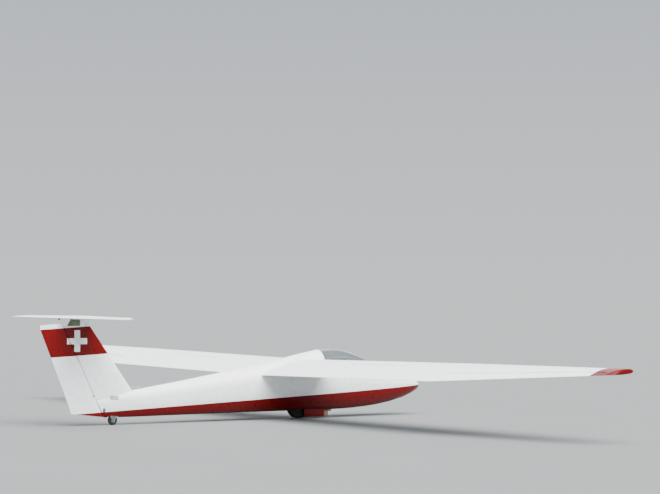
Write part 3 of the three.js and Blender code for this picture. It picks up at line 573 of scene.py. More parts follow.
def extruded(bm, outline, push):
    """A flat outline pushed out into a plate."""
    low = [bm.verts.new(point) for point in outline]
    high = [bm.verts.new(Vector(point) + Vector(push)) for point in outline]
    count = len(outline)
    bm.faces.new(low)
    bm.faces.new(high)
    for k in range(count):
        bm.faces.new((low[k], low[(k + 1) % count], high[(k + 1) % count], high[k]))


def smoothed(points, rounds=2):
    """A path with its corners cut, for a strap that bends softly."""
    for _ in range(rounds):
        cut = [points[0]]
        for a, b in zip(points, points[1:]):
            cut += [a.lerp(b, 0.25), a.lerp(b, 0.75)]
        points = [*cut, points[-1]]
    return points


def point_of(*millimetres):
    """A place given in millimetres, in metres."""
    return tuple(value * MM for value in millimetres)


# Rows of rivets, beads and laps, which follow the surfaces

def everything():
    """All the model's surfaces in one search tree."""
    bm = bmesh.new()
    for node in frame["nodes"].values():
        bm.from_mesh(node.data)
    tree = BVHTree.FromBMesh(bm)
    bm.free()
    return tree


SURFACES = everything()
# In metres: how much open space a row needs before it, the longest step along a row, and how far
# out on the side a search for the surface starts
OPEN_REACH = 0.3
ROW_STEP = 0.06
SIDE_REACH = 1.5


def on_side(x, z, sign):
    """Where the surface lies at a place of the side view, in millimetres, and the way it faces."""
    start = Vector((x * MM, sign * SIDE_REACH, z * MM))
    hit, normal, _, _ = SURFACES.ray_cast(start, Vector((0, -sign, 0)))
    return hit, normal


def in_open(point, way):
    """Whether nothing stands close before a point of a surface."""
    start = point + way * (3 * MM)
    return SURFACES.ray_cast(start, way, OPEN_REACH)[0] is None


def everywhere(point, way):
    """No part of a row is left out."""
    return True


def rows_on(nodes, planes, keep=everywhere):
    """Edges where planes cut the open surfaces of some nodes, with the way that the surface faces."""
    points, ways, edges = [], [], []
    for node in nodes:
        whole = merged(node)
        for place, direction in planes:
            part = whole.copy()
            cut = bmesh.ops.bisect_plane(
                part, geom=part.verts[:] + part.edges[:] + part.faces[:], dist=1e-6,
                plane_co=place, plane_no=direction)["geom_cut"]
            part.normal_update()
            number = {}
            for edge in cut:
                if not isinstance(edge, bmesh.types.BMEdge) or not edge.is_valid:
                    continue
                first, last = edge.verts
                count = max(1, math.ceil(edge.calc_length() / ROW_STEP))
                spots = [(first.co.lerp(last.co, k / count), first.normal.lerp(last.normal, k / count))
                         for k in range(count + 1)]
                names = [first, *((edge, k) for k in range(1, count)), last]
                shown = [keep(*spot) and in_open(*spot) for spot in spots]
                for k in range(count):
                    if not (shown[k] and shown[k + 1]):
                        continue
                    for name, spot in zip(names[k:k + 2], spots[k:k + 2]):
                        if name not in number:
                            number[name] = len(points)
                            points.append(spot[0])
                            ways.append(spot[1])
                    edges.append([number[name] for name in names[k:k + 2]])
            part.free()
        whole.free()
    mesh = bpy.data.meshes.new("rows")
    mesh.from_pydata(points, edges, [])
    facing = mesh.attributes.new("facing", "FLOAT_VECTOR", "POINT")
    facing.data.foreach_set("vector", [value for way in ways for value in way])
    return mesh


def open_tree(name, sizes):
    """A tree with named sizes in millimetres, and what it is given."""
    tree = bpy.data.node_groups.new(name, "GeometryNodeTree")
    tree.interface.new_socket("Rows", in_out="INPUT", socket_type="NodeSocketGeometry")
    for size in sizes:
        tree.interface.new_socket(size, in_out="INPUT", socket_type="NodeSocketFloat")
    tree.interface.new_socket("Finish", in_out="INPUT", socket_type="NodeSocketMaterial")
    tree.interface.new_socket("Pieces", in_out="OUTPUT", socket_type="NodeSocketGeometry")
    given = add_node(tree, "NodeGroupInput").outputs
    return tree, given


def close_tree(tree, pieces, given):
    """Real geometry in its finish, as the tree's result."""
    real = add_node(tree, "GeometryNodeRealizeInstances", {"Geometry": pieces})
    painted = add_node(tree, "GeometryNodeSetMaterial", {
        "Geometry": real.outputs[0], "Material": given["Finish"]})
    add_node(tree, "NodeGroupOutput", {"Pieces": painted.outputs[0]})
    return tree


def fastener_tree():
    """Rivet or screw heads, evenly spaced along rows and square to the surface."""
    tree, given = open_tree("fastener_rows", ("Pitch", "Radius", "Height"))
    rows = add_node(tree, "GeometryNodeMeshToCurve", {"Mesh": given["Rows"]})
    spaced = add_node(tree, "GeometryNodeResampleCurve", {
        "Curve": rows.outputs[0], "Length": given["Pitch"]}, mode="LENGTH")
    facing = add_node(tree, "GeometryNodeInputNamedAttribute", {
        "Name": "facing"}, data_type="FLOAT_VECTOR")
    turn = add_node(tree, "FunctionNodeAlignRotationToVector", {
        "Vector": facing.outputs[0]}, axis="Z")
    crown = add_node(tree, "ShaderNodeMath", {0: given["Radius"], 1: 0.62}, operation="MULTIPLY")
    head = add_node(tree, "GeometryNodeMeshCone", {
        "Vertices": 8, "Radius Top": crown.outputs[0], "Radius Bottom": given["Radius"],
        "Depth": given["Height"]})
    heads = add_node(tree, "GeometryNodeInstanceOnPoints", {
        "Points": spaced.outputs[0], "Instance": head.outputs["Mesh"], "Rotation": turn.outputs[0]})
    return close_tree(tree, heads.outputs[0], given)


def bead_tree():
    """A round bead laid along rows."""
    tree, given = open_tree("beads", ("Radius",))
    rows = add_node(tree, "GeometryNodeMeshToCurve", {"Mesh": given["Rows"]})
    ring = add_node(tree, "GeometryNodeCurvePrimitiveCircle", {
        "Resolution": 8, "Radius": given["Radius"]})
    bead = add_node(tree, "GeometryNodeCurveToMesh", {
        "Curve": rows.outputs[0], "Profile Curve": ring.outputs[0], "Fill Caps": True})
    return close_tree(tree, bead.outputs[0], given)


FASTENERS = fastener_tree()
BEADS = bead_tree()


def grown(name, rows, tree, finish, body, slot, **sizes):
    """What a tree makes on rows, as one plain piece."""
    carrier = bpy.data.objects.new(name + "_rows", rows)
    bpy.context.scene.collection.objects.link(carrier)
    modifier = carrier.modifiers.new("grow", "NODES")
    modifier.node_group = tree
    given = {**{key: size * MM for key, size in sizes.items()}, "Finish": finish}
    for item in tree.interface.items_tree:
        if item.in_out == "INPUT" and item.name in given:
            modifier[item.identifier] = given[item.name]
    evaluated = carrier.evaluated_get(bpy.context.evaluated_depsgraph_get())
    mesh = bpy.data.meshes.new_from_object(evaluated)
    bpy.data.objects.remove(carrier)
    mesh.name = name
    if tree is BEADS:
        soften(mesh, 50)
    return new_object(name, mesh, body, slot, finish)


def rivets(name, nodes, planes, finish, keep=everywhere):
    """Rows of rivets on nodes that share a body."""
    rows = rows_on(nodes, planes, keep)
    return grown(name, rows, FASTENERS, RIVET_ENAMEL[finish], BODY_OF[nodes[0]], SLOT_OF[nodes[0]],
                 Pitch=RIVET["pitch"], Radius=RIVET["radius"], Height=RIVET["height"])


def lap(name, nodes, planes, finish, keep=everywhere):
    """Bands where one sheet lies over the next, standing a little proud."""
    band = bmesh.new()
    for node in nodes:
        for place, direction in planes:
            strip = merged(node)
            for side in (-1, 1):
                way = Vector(direction).normalized() * side
                edge = Vector(place) + way * (LAP["half_width"] * MM)
                bmesh.ops.bisect_plane(
                    strip, geom=strip.verts[:] + strip.edges[:] + strip.faces[:], dist=1e-6,
                    plane_co=edge, plane_no=way, clear_outer=True)
            hidden = [face for face in strip.faces if not (
                keep(face.calc_center_median(), face.normal)
                and in_open(face.calc_center_median(), face.normal))]
            bmesh.ops.delete(strip, geom=hidden, context="FACES")
            piece = bpy.data.meshes.new("lap")
            strip.to_mesh(piece)
            strip.free()
            band.from_mesh(piece)
            bpy.data.meshes.remove(piece)
    band.normal_update()
    for vert in band.verts:
        vert.co += vert.normal * (LAP["lift"] * MM)
    bmesh.ops.solidify(band, geom=band.faces[:], thickness=LAP["lift"] * MM * 1.5)
    mesh = bpy.data.meshes.new(name)
    band.to_mesh(mesh)
    band.free()
    soften(mesh, 32)
    return new_object(name, mesh, BODY_OF[nodes[0]], SLOT_OF[nodes[0]], finish)


def upright(x=None, y=None, z=None):
    """A plane square to one axis."""
    if x is not None:
        return (x, 0, 0), (1, 0, 0)
    if y is not None:
        return (0, y, 0), (0, 1, 0)
    return (0, 0, z), (0, 0, 1)


def through(start, end, across):
    """A plane through two points and along a direction."""
    start, end = Vector(start), Vector(end)
    return start, (end - start).cross(Vector(across)).normalized()


HULL_NODES = ("nose_cone", "cockpit_shell", "centre_fuselage", "turtle_deck", "tail_cone")
HULL_FRAMES = (3.085, 2.86, 2.60, 2.30, 2.00, 1.70, 1.605, 1.555, 1.20, 0.86, 0.56, 0.325, 0.275,
               -0.10, -0.48, -0.86, -1.24, -1.62, -1.95)
HULL_STRINGERS = (
    # height at x 0, rise towards the nose
    (0.215, 0.012), (0.340, 0.050), (0.520, 0.096), (0.660, 0.140))
HULL_LAPS = (0.30, -0.67, -1.43)


def outward(point, way):
    """Whether a surface faces away from the cabin's middle."""
    return way.dot(Vector((0, point.y, point.z - CABIN_AXIS_Z))) > 0


def on_hull(point, way):
    """The hull's outside, clear of the nose tip and of the tail cone's rear edge."""
    return -2.30 < point.x < 3.24 and (outward(point, way) or point.x < CABIN_REAR_X)


def rivet_hull():
    """Rivets along the hull's frames and stringers, and laps between its sheets."""
    frames = [upright(x=x) for x in HULL_FRAMES]
    stringers = [through((0, 0, height), (1, 0, height + rise), (0, 1, 0))
                 for height, rise in HULL_STRINGERS]
    rivets("hull_frame_rivets", HULL_NODES, frames, HULL_ENAMEL, on_hull)
    rivets("hull_stringer_rivets", HULL_NODES, stringers, HULL_ENAMEL, on_hull)
    lap("hull_sheet_laps", HULL_NODES, [upright(x=x) for x in HULL_LAPS], HULL_ENAMEL, on_hull)


WING_CRANK_Y = 4.44
WING_END_Y = 7.37
WING_SPARS = (
    # x at the crank, x at the end
    (1.225, 1.192), (0.930, 1.083), (0.650, 0.981), (0.535, 0.936))
WING_RIBS = {"first": 0.42, "pitch": 0.37, "count": 19}
WING_ROOT_CLEAR_Y = 0.33
WING_LAP_Y = 2.64


def rivet_wing(side, sign):
    """Rivets along a wing's spars and ribs and on its aileron, and laps between its sheets."""
    def inner(point, way):
        """The wing's straight part, clear of its nose."""
        return WING_ROOT_CLEAR_Y < abs(point.y) < WING_CRANK_Y and abs(way.x) < 0.7

    def outer(point, way):
        """The wing's tapered part, clear of its nose."""
        return WING_CRANK_Y <= abs(point.y) < WING_END_Y and abs(way.x) < 0.7

    def on_rib(point, way):
        """The whole wing, clear of its nose."""
        return abs(way.x) < 0.6 and WING_ROOT_CLEAR_Y < abs(point.y) < WING_END_Y

    straight = [upright(x=x) for x, _ in WING_SPARS]
    tapered = [through((start, sign * WING_CRANK_Y, 0), (end, sign * WING_END_Y, 0), (0, 0, 1))
               for start, end in WING_SPARS]
    ribs = [upright(y=sign * (WING_RIBS["first"] + WING_RIBS["pitch"] * k))
            for k in range(WING_RIBS["count"])]
    wing = (f"wing_{side}",)
    rivets(f"wing_spar_rivets_inner_{side}", wing, straight, WING_ENAMEL, inner)
    rivets(f"wing_spar_rivets_outer_{side}", wing, tapered, WING_ENAMEL, outer)
    rivets(f"wing_rib_rivets_{side}", wing, ribs, WING_ENAMEL, on_rib)
    lap(f"wing_sheet_laps_{side}", wing, [upright(y=sign * y) for y in (WING_LAP_Y, WING_CRANK_Y)],
        WING_ENAMEL, lambda point, way: abs(way.x) < 0.9)
    rivets(f"aileron_rib_rivets_{side}", (f"aileron_{side}",), ribs, WING_ENAMEL,
           lambda point, way: abs(way.x) < 0.5)


TAIL_RIBS = (0.56, 0.76, 0.96, 1.16, 1.36)
RUDDER_FOOT_RIB = 0.34
FIN_SPARS = (0.065, 0.30)
RUDDER_SPAR = -0.07
HINGE_LINE = ((-2.319, 0, 0.140), (-2.966, 0, 1.450))
TAILPLANE_RIBS = (0.16, 0.44, 0.72, 1.00, 1.28, 1.45)
TAILPLANE_SPARS = (-2.56, -2.72)
CREST_Z = CAD_BOX[1][2] - 2 * MM


def beside_hinge(distance):
    """A plane along the rudder's hinge line, ahead of it or behind it."""
    start, end = (Vector(point) + Vector((distance, 0, 0)) for point in HINGE_LINE)
    return through(start, end, (0, 1, 0))


def rivet_tail():
    """Rivets on fin, rudder, tailplane and elevator."""
    ribs = [upright(z=z) for z in TAIL_RIBS]
    fin_rows = [*ribs, *(beside_hinge(distance) for distance in FIN_SPARS)]
    rudder_rows = [*ribs, upright(z=RUDDER_FOOT_RIB), beside_hinge(RUDDER_SPAR)]
    across = [upright(y=sign * y) for y in TAILPLANE_RIBS for sign in (-1, 1)]

    def off_crest(point, way):
        """The tailplane's faces below the aircraft's highest point."""
        return abs(way.x) < 0.5 and point.z < CREST_Z and abs(way.y) < 0.5

    rivets("fin_rivets", ("fin",), fin_rows, TAIL_ENAMEL,
           lambda point, way: abs(way.x) < 0.5 and abs(way.z) < 0.9)
    rivets("rudder_rivets", ("rudder",), rudder_rows, TAIL_ENAMEL,
           lambda point, way: abs(way.x) < 0.35 and abs(way.z) < 0.9)
    rivets("tailplane_rivets", ("tailplane",), [*across, *(upright(x=x) for x in TAILPLANE_SPARS)],
           PLAIN_ENAMEL, off_crest)
    rivets("elevator_rivets", ("elevator",), across, PLAIN_ENAMEL, off_crest)


rivet_hull()
for wing_side, wing_sign in SIDES:
    rivet_wing(wing_side, wing_sign)
rivet_tail()


# Wheels and undercarriage

# Sizes and places in millimetres
WHEEL_X = 1060
WHEEL_RADIUS = 180
TREAD = {"half": 43, "crown": 2.5, "grooves": (-31, -11, 11, 31), "groove_half": 2.6,
         "groove_depth": 5, "step": 1.5}
RIM = {"radius": 65.7, "half": 40}
AXLE_REACH = 80.3
TAIL_X = -2120
TAIL_RADIUS = 72
TAIL_CHEEK = 35.7
DOOR_BOX = {"rear": 1097, "front": 1528, "foot": 20, "top": 172, "outer": 117.7, "inner": 109.7}
DOOR_LIP = {"depth": 11, "sheet": 2.5}
DOOR_HINGE = {"knuckles": 12, "pitch": 35, "radius": 4, "length": 30}
RUB_STRIP = {"x": (1458, 1524), "y": (117.5, 118.6), "z": (24, 114)}
RUB_STRIP_SCREWS = {"x": (1466, 1516), "z": (36, 70, 102)}
HOOK_CHEEK = ((1602, 104), (1612, 88), (1640, 86), (1657, 98), (1657, 128), (1602, 128))
HOOK_BEAK = ((1610, 116), (1622, 106), (1638, 100), (1649, 92), (1651, 87), (1644, 88.5))
HOOK_PIVOT = {"x": 1616, "z": 110, "half": 12}


def wheel_section(half, tread=()):
    """A wheel's closed section: one side's points, a tread, and the same side turned over."""
    return ringed(*half, *tread, *((radius, -height) for radius, height in reversed(half)))


def add_main_tyre():
    """A ribbed tyre: bulging walls with a rim guard, and grooves round a slightly crowned tread."""
    wall = [(RIM["radius"] + 0.6, 39), (70, 44), (80, 50), (96, 56), (118, 60.5), (128, 61.6),
            (131, 61.9), (134, 61.4), (140, 61.2), (156, 58.5), (169, 53), (176, 47)]
    tread = []
    across = TREAD["half"]
    while across > -TREAD["half"] - 1:
        in_groove = any(abs(across - groove) < TREAD["groove_half"] for groove in TREAD["grooves"])
        top = WHEEL_RADIUS - TREAD["crown"] * (across / TREAD["half"]) ** 2
        tread.append((top - (TREAD["groove_depth"] if in_groove else 0), across))
        across -= TREAD["step"]
    bm = bmesh.new()
    turned(bm, wheel_section(wall, tread), point_of(WHEEL_X, 0, WHEEL_RADIUS), (0, 1, 0), 96)
    tyre = prepared("ribbed_tyre", bm, BODY_OF["main_tyre"], "tyre_rubber", TYRE, sharp_deg=40)
    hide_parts("main_tyre")


def bolt_ring(bm, count, ring_radius, bolt_radius, height, place, side):
    """Hexagon bolt heads in a ring on a wheel's side."""
    for k in range(count):
        angle = math.tau * k / count
        spot = Vector(place) + Vector((math.cos(angle), 0, math.sin(angle))) * (ring_radius * MM)
        turned(bm, hexagon_head(bolt_radius, height), spot, (0, side, 0), 6)


def add_main_hub():
    """A cast alloy wheel: flanged rim, dished web with bolts, a bearing boss and a tyre valve."""
    half = [(10.6, 36), (20, 36), (22.5, 33), (23.5, 22), (30, 15), (44, 13), (53, 18), (56, 33),
            (60, 39), (RIM["radius"], RIM["half"])]
    bm = bmesh.new()
    turned(bm, wheel_section(half), point_of(WHEEL_X, 0, WHEEL_RADIUS), (0, 1, 0), 64)
    for side in (-1, 1):
        bolt_ring(bm, 6, 37, 5.5, 7, point_of(WHEEL_X, side * 13.5, WHEEL_RADIUS), side)
    valve = solid((3.4, 0), (3.4, 16), (2.6, 18))
    turned(bm, valve, point_of(WHEEL_X + 48, -15, WHEEL_RADIUS), (0, -1, 0), 12)
    hub = prepared("cast_wheel", bm, BODY_OF["main_wheel_hub"], "alloy", ALLOY)
    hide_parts("main_wheel_hub")


def add_axle_nuts():
    """Nuts with washers at both ends of both axles."""
    for name, body, x, z, reach, radius, height in (
            ("main_axle_nuts", BODY_OF["main_axle"], WHEEL_X, WHEEL_RADIUS, AXLE_REACH, 16, 7.4),
            ("tail_axle_nuts", BODY_OF["tail_axle"], TAIL_X, TAIL_RADIUS, TAIL_CHEEK + 0.1, 10, 6)):
        bm = bmesh.new()
        for side in (-1, 1):
            washer = solid((radius * 1.25, 0), (radius * 1.25, 1.4), (radius * 1.15, 1.8))
            turned(bm, washer, point_of(x, side * reach, z), (0, side, 0), 24)
            nut_place = point_of(x, side * (reach + 1.7), z)
            turned(bm, hexagon_head(radius, height), nut_place, (0, side, 0), 6)
        prepared(name, bm, body, "steel", STEEL)


def add_tail_wheel():
    """A small solid tyre on a turned alloy hub."""
    centre = point_of(TAIL_X, 0, TAIL_RADIUS)
    wall = [(34.4, 16), (38, 21), (46, 23.4), (56, 23.8), (64, 21.5), (69, 17.5), (71.2, 12), (71.9, 6)]
    bm = bmesh.new()
    turned(bm, wheel_section(wall), centre, (0, 1, 0), 64)
    tyre = prepared("tail_tyre", bm, BODY_OF["tail_wheel"], "tyre_rubber", TYRE)
    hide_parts("tail_wheel")
    web = [(6.5, 20), (12, 20), (13.5, 16), (15, 9), (26, 8), (30, 14), (34.1, 16)]
    bm = bmesh.new()
    turned(bm, wheel_section(web), centre, (0, 1, 0), 48)
    for side in (-1, 1):
        bolt_ring(bm, 5, 21, 3, 3.5, point_of(TAIL_X, side * 8.4, TAIL_RADIUS), side)
    prepared("tail_hub", bm, BODY_OF["tail_wheel"], "alloy", ALLOY)


def add_door_hinge(side, sign, body):
    """A door's row of hinge knuckles, along its upper edge."""
    radius, length = DOOR_HINGE["radius"], DOOR_HINGE["length"]
    knuckle = solid((radius - 0.4, 0), (radius, 0.5), (radius, length - 0.5), (radius - 0.4, length))
    bm = bmesh.new()
    for k in range(DOOR_HINGE["knuckles"]):
        x = DOOR_BOX["rear"] + 8 + DOOR_HINGE["pitch"] * k
        place = point_of(x, sign * (DOOR_BOX["inner"] - 4.2), DOOR_BOX["top"] - 6)
        turned(bm, knuckle, place, (1, 0, 0), 12)
    prepared(f"door_hinge_{side}", bm, body, "steel", STEEL)


def add_rub_strip(side, sign, body):
    """A pale tan strip with its screws, near a door's front end."""
    low, high = zip(*RUB_STRIP.values())
    bm = bmesh.new()
    side_block(bm, sign, low, high, 0.4)
    for z in RUB_STRIP_SCREWS["z"]:
        for x in RUB_STRIP_SCREWS["x"]:
            place = point_of(x, sign * (high[1] - 0.1), z)
            turned(bm, solid((3.4, 0), (2.2, 1.2)), place, (0, sign, 0), 10)
    prepared(f"door_rub_strip_{side}", bm, body, "cockpit_grey", PALE_TAN_STRIP)


def add_doors():
    """Each door: a pressed sheet with turned-in edges, stiffeners, hinge knuckles and an end strip."""
    rear, front, low, high, outer, inner = (
        DOOR_BOX[key] for key in ("rear", "front", "foot", "top", "outer", "inner"))
    lip, root, sheet = inner - DOOR_LIP["depth"], inner + 1, DOOR_LIP["sheet"]
    for side, sign in SIDES:
        bm = bmesh.new()
        body = BODY_OF[f"gear_door_{side}"]
        side_block(bm, sign, (rear, inner, low), (front, outer, high), 2.2)
        side_block(bm, sign, (rear, lip, low), (front, root, low + sheet), 0.8)
        for x in (rear, front - sheet):
            side_block(bm, sign, (x, lip, low), (x + sheet, root, high), 0.8)
        for k in range(1, 4):
            x = rear + k * (front - rear) / 4
            side_block(bm, sign, (x - 9, inner - 6, low + 14), (x + 9, root, high - 22), 2.4)
        door = prepared(f"pressed_door_{side}", bm, body, "red_paint", DOOR_ENAMEL)
        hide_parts(f"gear_door_{side}")
        add_door_hinge(side, sign, body)
        add_rub_strip(side, sign, body)


def add_tow_hook():
    """Two cheek plates with a hooked beak and its pivot bolt between them."""
    x, z, half = HOOK_PIVOT.values()
    bm = bmesh.new()
    for side in (-1, 1):
        section = [point_of(x, side * 9.5, z) for x, z in HOOK_CHEEK]
        extruded(bm, section, (0, side * 3.4 * MM, 0))
    swept(bm, [point_of(x, 0, z) for x, z in HOOK_BEAK], round_section(4.2, 12), up=(0, 1, 0))
    pivot = solid((4.5, 0), (4.5, 2 * half - 1), (3.8, 2 * half))
    turned(bm, pivot, point_of(x, -half, z), (0, 1, 0), 16)
    for side in (-1, 1):
        turned(bm, hexagon_head(6.5, 1.9), point_of(x, side * (half - 0.2), z), (0, side, 0), 6)
    hook = prepared("release_hook", bm, BODY_OF["tow_hook"], "steel", STEEL)
    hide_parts("tow_hook")


add_main_tyre()
add_main_hub()
add_axle_nuts()
add_tail_wheel()
add_doors()
add_tow_hook()


# Fittings on the outside, in millimetres

DATA_PLATE = {"x": (-2188, -2057), "z": (361, 421)}
FOOT_HINGE = {"x": (-2302, -2262), "z": (190, 246)}
# x, z and radius of each static port
STATIC_PORTS = ((-700, 430, 9), (2960, 470, 7))
NOSE_RING_Z = 454
PROBE = {"head": (-1694, 0, 536.8), "rings": ((-1782, 0, 532.6), (-1752, 0, 532.6)), "way": (1, 0, 0.04)}
# The wing's section for the root seal, its rise for each unit outwards, and the hull's half width
SEAL_RING_Y = 450
WING_RISE = 0.0126
HULL_HALF = 290
TIP_STRIP = {"rear": 930, "length": 220, "y": 7440, "below": 200, "steps": 10}


def laid_plate(name, x_range, z_range, sign, thick, material, slot, body, cuts, round_mm=6):
    """A thin plate bent to the surface below it, on one side of the aircraft."""
    bm = bmesh.new()
    columns, rows = cuts
    grid = []
    for i in range(columns + 1):
        for j in range(rows + 1):
            u, v = i / columns, j / rows
            x = x_range[0] + u * (x_range[1] - x_range[0])
            pull = round_mm if i in (0, columns) and j in (0, rows) else 0
            x += (1 if i == 0 else -1) * pull * 0.3
            z = z_range[0] + v * (z_range[1] - z_range[0]) + (1 if j == 0 else -1) * pull * 0.3
            hit, normal = on_side(x, z, sign)
            grid.append(bm.verts.new(hit + normal * (thick * MM)))
    for i in range(columns):
        for j in range(rows):
            a = i * (rows + 1) + j
            corners = [grid[a], grid[a + 1], grid[a + rows + 2], grid[a + rows + 1]]
            bm.faces.new(corners if sign > 0 else corners[::-1])
    bm.normal_update()
    bmesh.ops.solidify(bm, geom=bm.faces[:], thickness=thick * MM * 1.3)
    return prepared(name, bm, body, slot, material)


def add_outside_fittings():
    """Blank data plate, static ports, straps at the rudder's foot, nose air ring and probe head."""
    tail = BODY_OF["tail_cone"]
    laid_plate("blank_data_plate", *DATA_PLATE.values(), -1, 1.3, PLATE_GREY, "alloy", tail,
               cuts=(22, 20))
    for side, sign in reversed(SIDES):
        bm = bmesh.new()
        for x, z, radius in STATIC_PORTS:
            port = ringed((radius, -0.5), (radius, 0.8), (radius * 0.85, 1.2), (radius * 0.3, 1.2),
                          (radius * 0.3, -0.5))
            turned(bm, port, *on_side(x, z, sign), 24)
        prepared(f"static_ports_{side}", bm, tail, "alloy", ALLOY)
        laid_plate(f"foot_hinge_{side}", *FOOT_HINGE.values(), sign, 2.2, STEEL, "steel", BODY_OF["fin"],
                   cuts=(6, 6), round_mm=16)
    bm = bmesh.new()
    air_ring = ringed((4, -10), (8.2, -10), (8.2, -1.2), (7.2, -0.3), (4.8, -0.3), (4, -1.2))
    turned(bm, air_ring, (CAD_BOX[1][0], 0, NOSE_RING_Z * MM), (1, 0, 0), 24)
    prepared("nose_air_ring", bm, BODY_OF["nose_cone"], "alloy", ALLOY)
    bm = bmesh.new()
    head = [(0, 0), (6.2, 0), (7, 2), (7, 16), (5, 22), (0, 24)]
    turned(bm, head, point_of(*PROBE["head"]), PROBE["way"], 16)
    for place in PROBE["rings"]:
        collar = ringed((5.2, 0), (6.4, 0), (6.4, 5), (5.2, 5))
        turned(bm, collar, point_of(*place), PROBE["way"], 16)
    prepared("probe_head", bm, BODY_OF["fin_probe"], "alloy", ALLOY)


def add_root_seals():
    """A sealing bead where each wing's skin meets the hull."""
    for side, sign in SIDES:
        ring = rows_on((f"wing_{side}",), [upright(y=sign * SEAL_RING_Y * MM)])
        hull = bmesh.new()
        for node in ("centre_fuselage", "turtle_deck", "tail_cone", "cockpit_shell"):
            hull.from_mesh(frame["nodes"][node].data)
        tree = BVHTree.FromBMesh(hull)
        hull.free()
        for vert in ring.vertices:
            start = vert.co.copy()
            hit = tree.ray_cast(start, Vector((0, -sign, 0)))[0]
            y = hit.y if hit else sign * HULL_HALF * MM
            vert.co = Vector((start.x, y, start.z - WING_RISE * abs(start.y - y)))
        grown(f"wing_root_seal_{side}", ring, BEADS, PLAIN_ENAMEL, BODY_OF[f"wing_{side}"],
              "white_paint", Radius=5)


def add_tip_skids():
    """A steel rub strip under each wing tip."""
    for side, sign in SIDES:
        path = []
        for k in range(TIP_STRIP["steps"] + 1):
            x = TIP_STRIP["rear"] + TIP_STRIP["length"] * k / TIP_STRIP["steps"]
            start = Vector(point_of(x, sign * TIP_STRIP["y"], TIP_STRIP["below"]))
            hit, normal, _, _ = SURFACES.ray_cast(start, Vector((0, 0, 1)))
            path.append(hit + normal * (0.2 * MM))
        bm = bmesh.new()
        swept(bm, path, [(-9, 0), (9, 0), (7, -3.2), (-7, -3.2)])
        prepared(f"tip_rub_strip_{side}", bm, BODY_OF[f"wing_tip_{side}"], "steel", STEEL)


add_outside_fittings()
add_root_seals()
add_tip_skids()


# Canopy

SILL = ((1.366, 0, 0.707), (2.700, 0, 0.650))
GLASS_HEEL = ((1.386, 0, 0.740), (1.440, 0, 1.200))
GLASS_FOOT = 0.0343
GLASS_SEAL = {"from_heel": 0.003, "from_foot": 0.0012}
FRAME_BOW = ((1.377, 0, 0.720), (1.402, 0, 1.100))
FRAME_SCREWS_UP = 0.017
RIM_SEAL_DOWN = 0.004
# The vent window on the port side, in millimetres
VENT = {"x": (1790, 2060), "z": (775, 890), "corner": 26, "frame": 10}
VENT_KNOB = (1830, 832)


def above_sill(height):
    """A plane along the canopy's sill, at a height over it."""
    lift = Vector((0, 0, height))
    return through(Vector(SILL[0]) + lift, Vector(SILL[1]) + lift, (0, 1, 0))


def over_sill(point):
    """How far a point lies over the canopy's sill."""
    (x0, _, z0), (x1, _, z1) = SILL
    return point.z - z0 - (point.x - x0) * (z1 - z0) / (x1 - x0)


def ahead_of_heel(point):
    """How far a point lies ahead of the glass's heel."""
    (x0, _, z0), (x1, _, z1) = GLASS_HEEL
    return point.x - x0 - (point.z - z0) * (x1 - x0) / (z1 - z0)


def traced(points, sign, lift_mm):
    """Points of a side view, in millimetres, laid on the surface of one side."""
    spots = [on_side(x, z, sign) for x, z in points]
    return [hit + normal * (lift_mm * MM) for hit, normal in spots]


def rounded_outline(x0, x1, z0, z1, corner, steps=6):
    """A rectangle with round corners, in side view, as points at most about 20 mm apart."""
    points = []
    for cx, cz, start in ((x1 - corner, z1 - corner, 0), (x0 + corner, z1 - corner, 90),
                          (x0 + corner, z0 + corner, 180), (x1 - corner, z0 + corner, 270)):
        for k in range(steps + 1):
            angle = math.radians(start + 90 * k / steps)
            points.append((cx + corner * math.cos(angle), cz + corner * math.sin(angle)))
    dense = []
    for (xa, za), (xb, zb) in zip(points, points[1:] + points[:1]):
        count = max(1, round(math.hypot(xb - xa, zb - za) / 20))
        dense += [(xa + (xb - xa) * k / count, za + (zb - za) * k / count) for k in range(count)]
    return dense


def add_canopy_fittings():
    """Glass seal, frame screws and the cockpit rim's seal."""
    seal_ahead, seal_over = GLASS_SEAL["from_heel"], GLASS_FOOT + GLASS_SEAL["from_foot"]
    heel = through(*(Vector(point) + Vector((seal_ahead, 0, 0)) for point in GLASS_HEEL), (0, 1, 0))

    def on_glass(point, way):
        """The glass's outside, as far as the two rows where its seal lies."""
        ahead, over = ahead_of_heel(point) - seal_ahead, over_sill(point) - seal_over
        return outward(point, way) and min(ahead, over) > -0.1 * MM

    def on_frame(point, way):
        """The frame's outside, down to a little below its row of screws."""
        return outward(point, way) and over_sill(point) > FRAME_SCREWS_UP - 3 * MM

    seal = rows_on(("canopy_glass",), [above_sill(seal_over), heel], on_glass)
    grown("glass_seal", seal, BEADS, SEAL, "canopy", "tyre_rubber", Radius=2.2)
    bow = through(*FRAME_BOW, (0, 1, 0))
    screws = rows_on(("canopy_frame",), [above_sill(FRAME_SCREWS_UP), bow], on_frame)
    grown("frame_screws", screws, FASTENERS, STEEL, "canopy", "steel", Pitch=58, Radius=4.2, Height=1.2)
    rim = rows_on(("cockpit_shell",), [above_sill(-RIM_SEAL_DOWN)],
                  lambda point, way: not outward(point, way))
    grown("cockpit_rim_seal", rim, BEADS, SEAL, "airframe", "tyre_rubber", Radius=3.2)


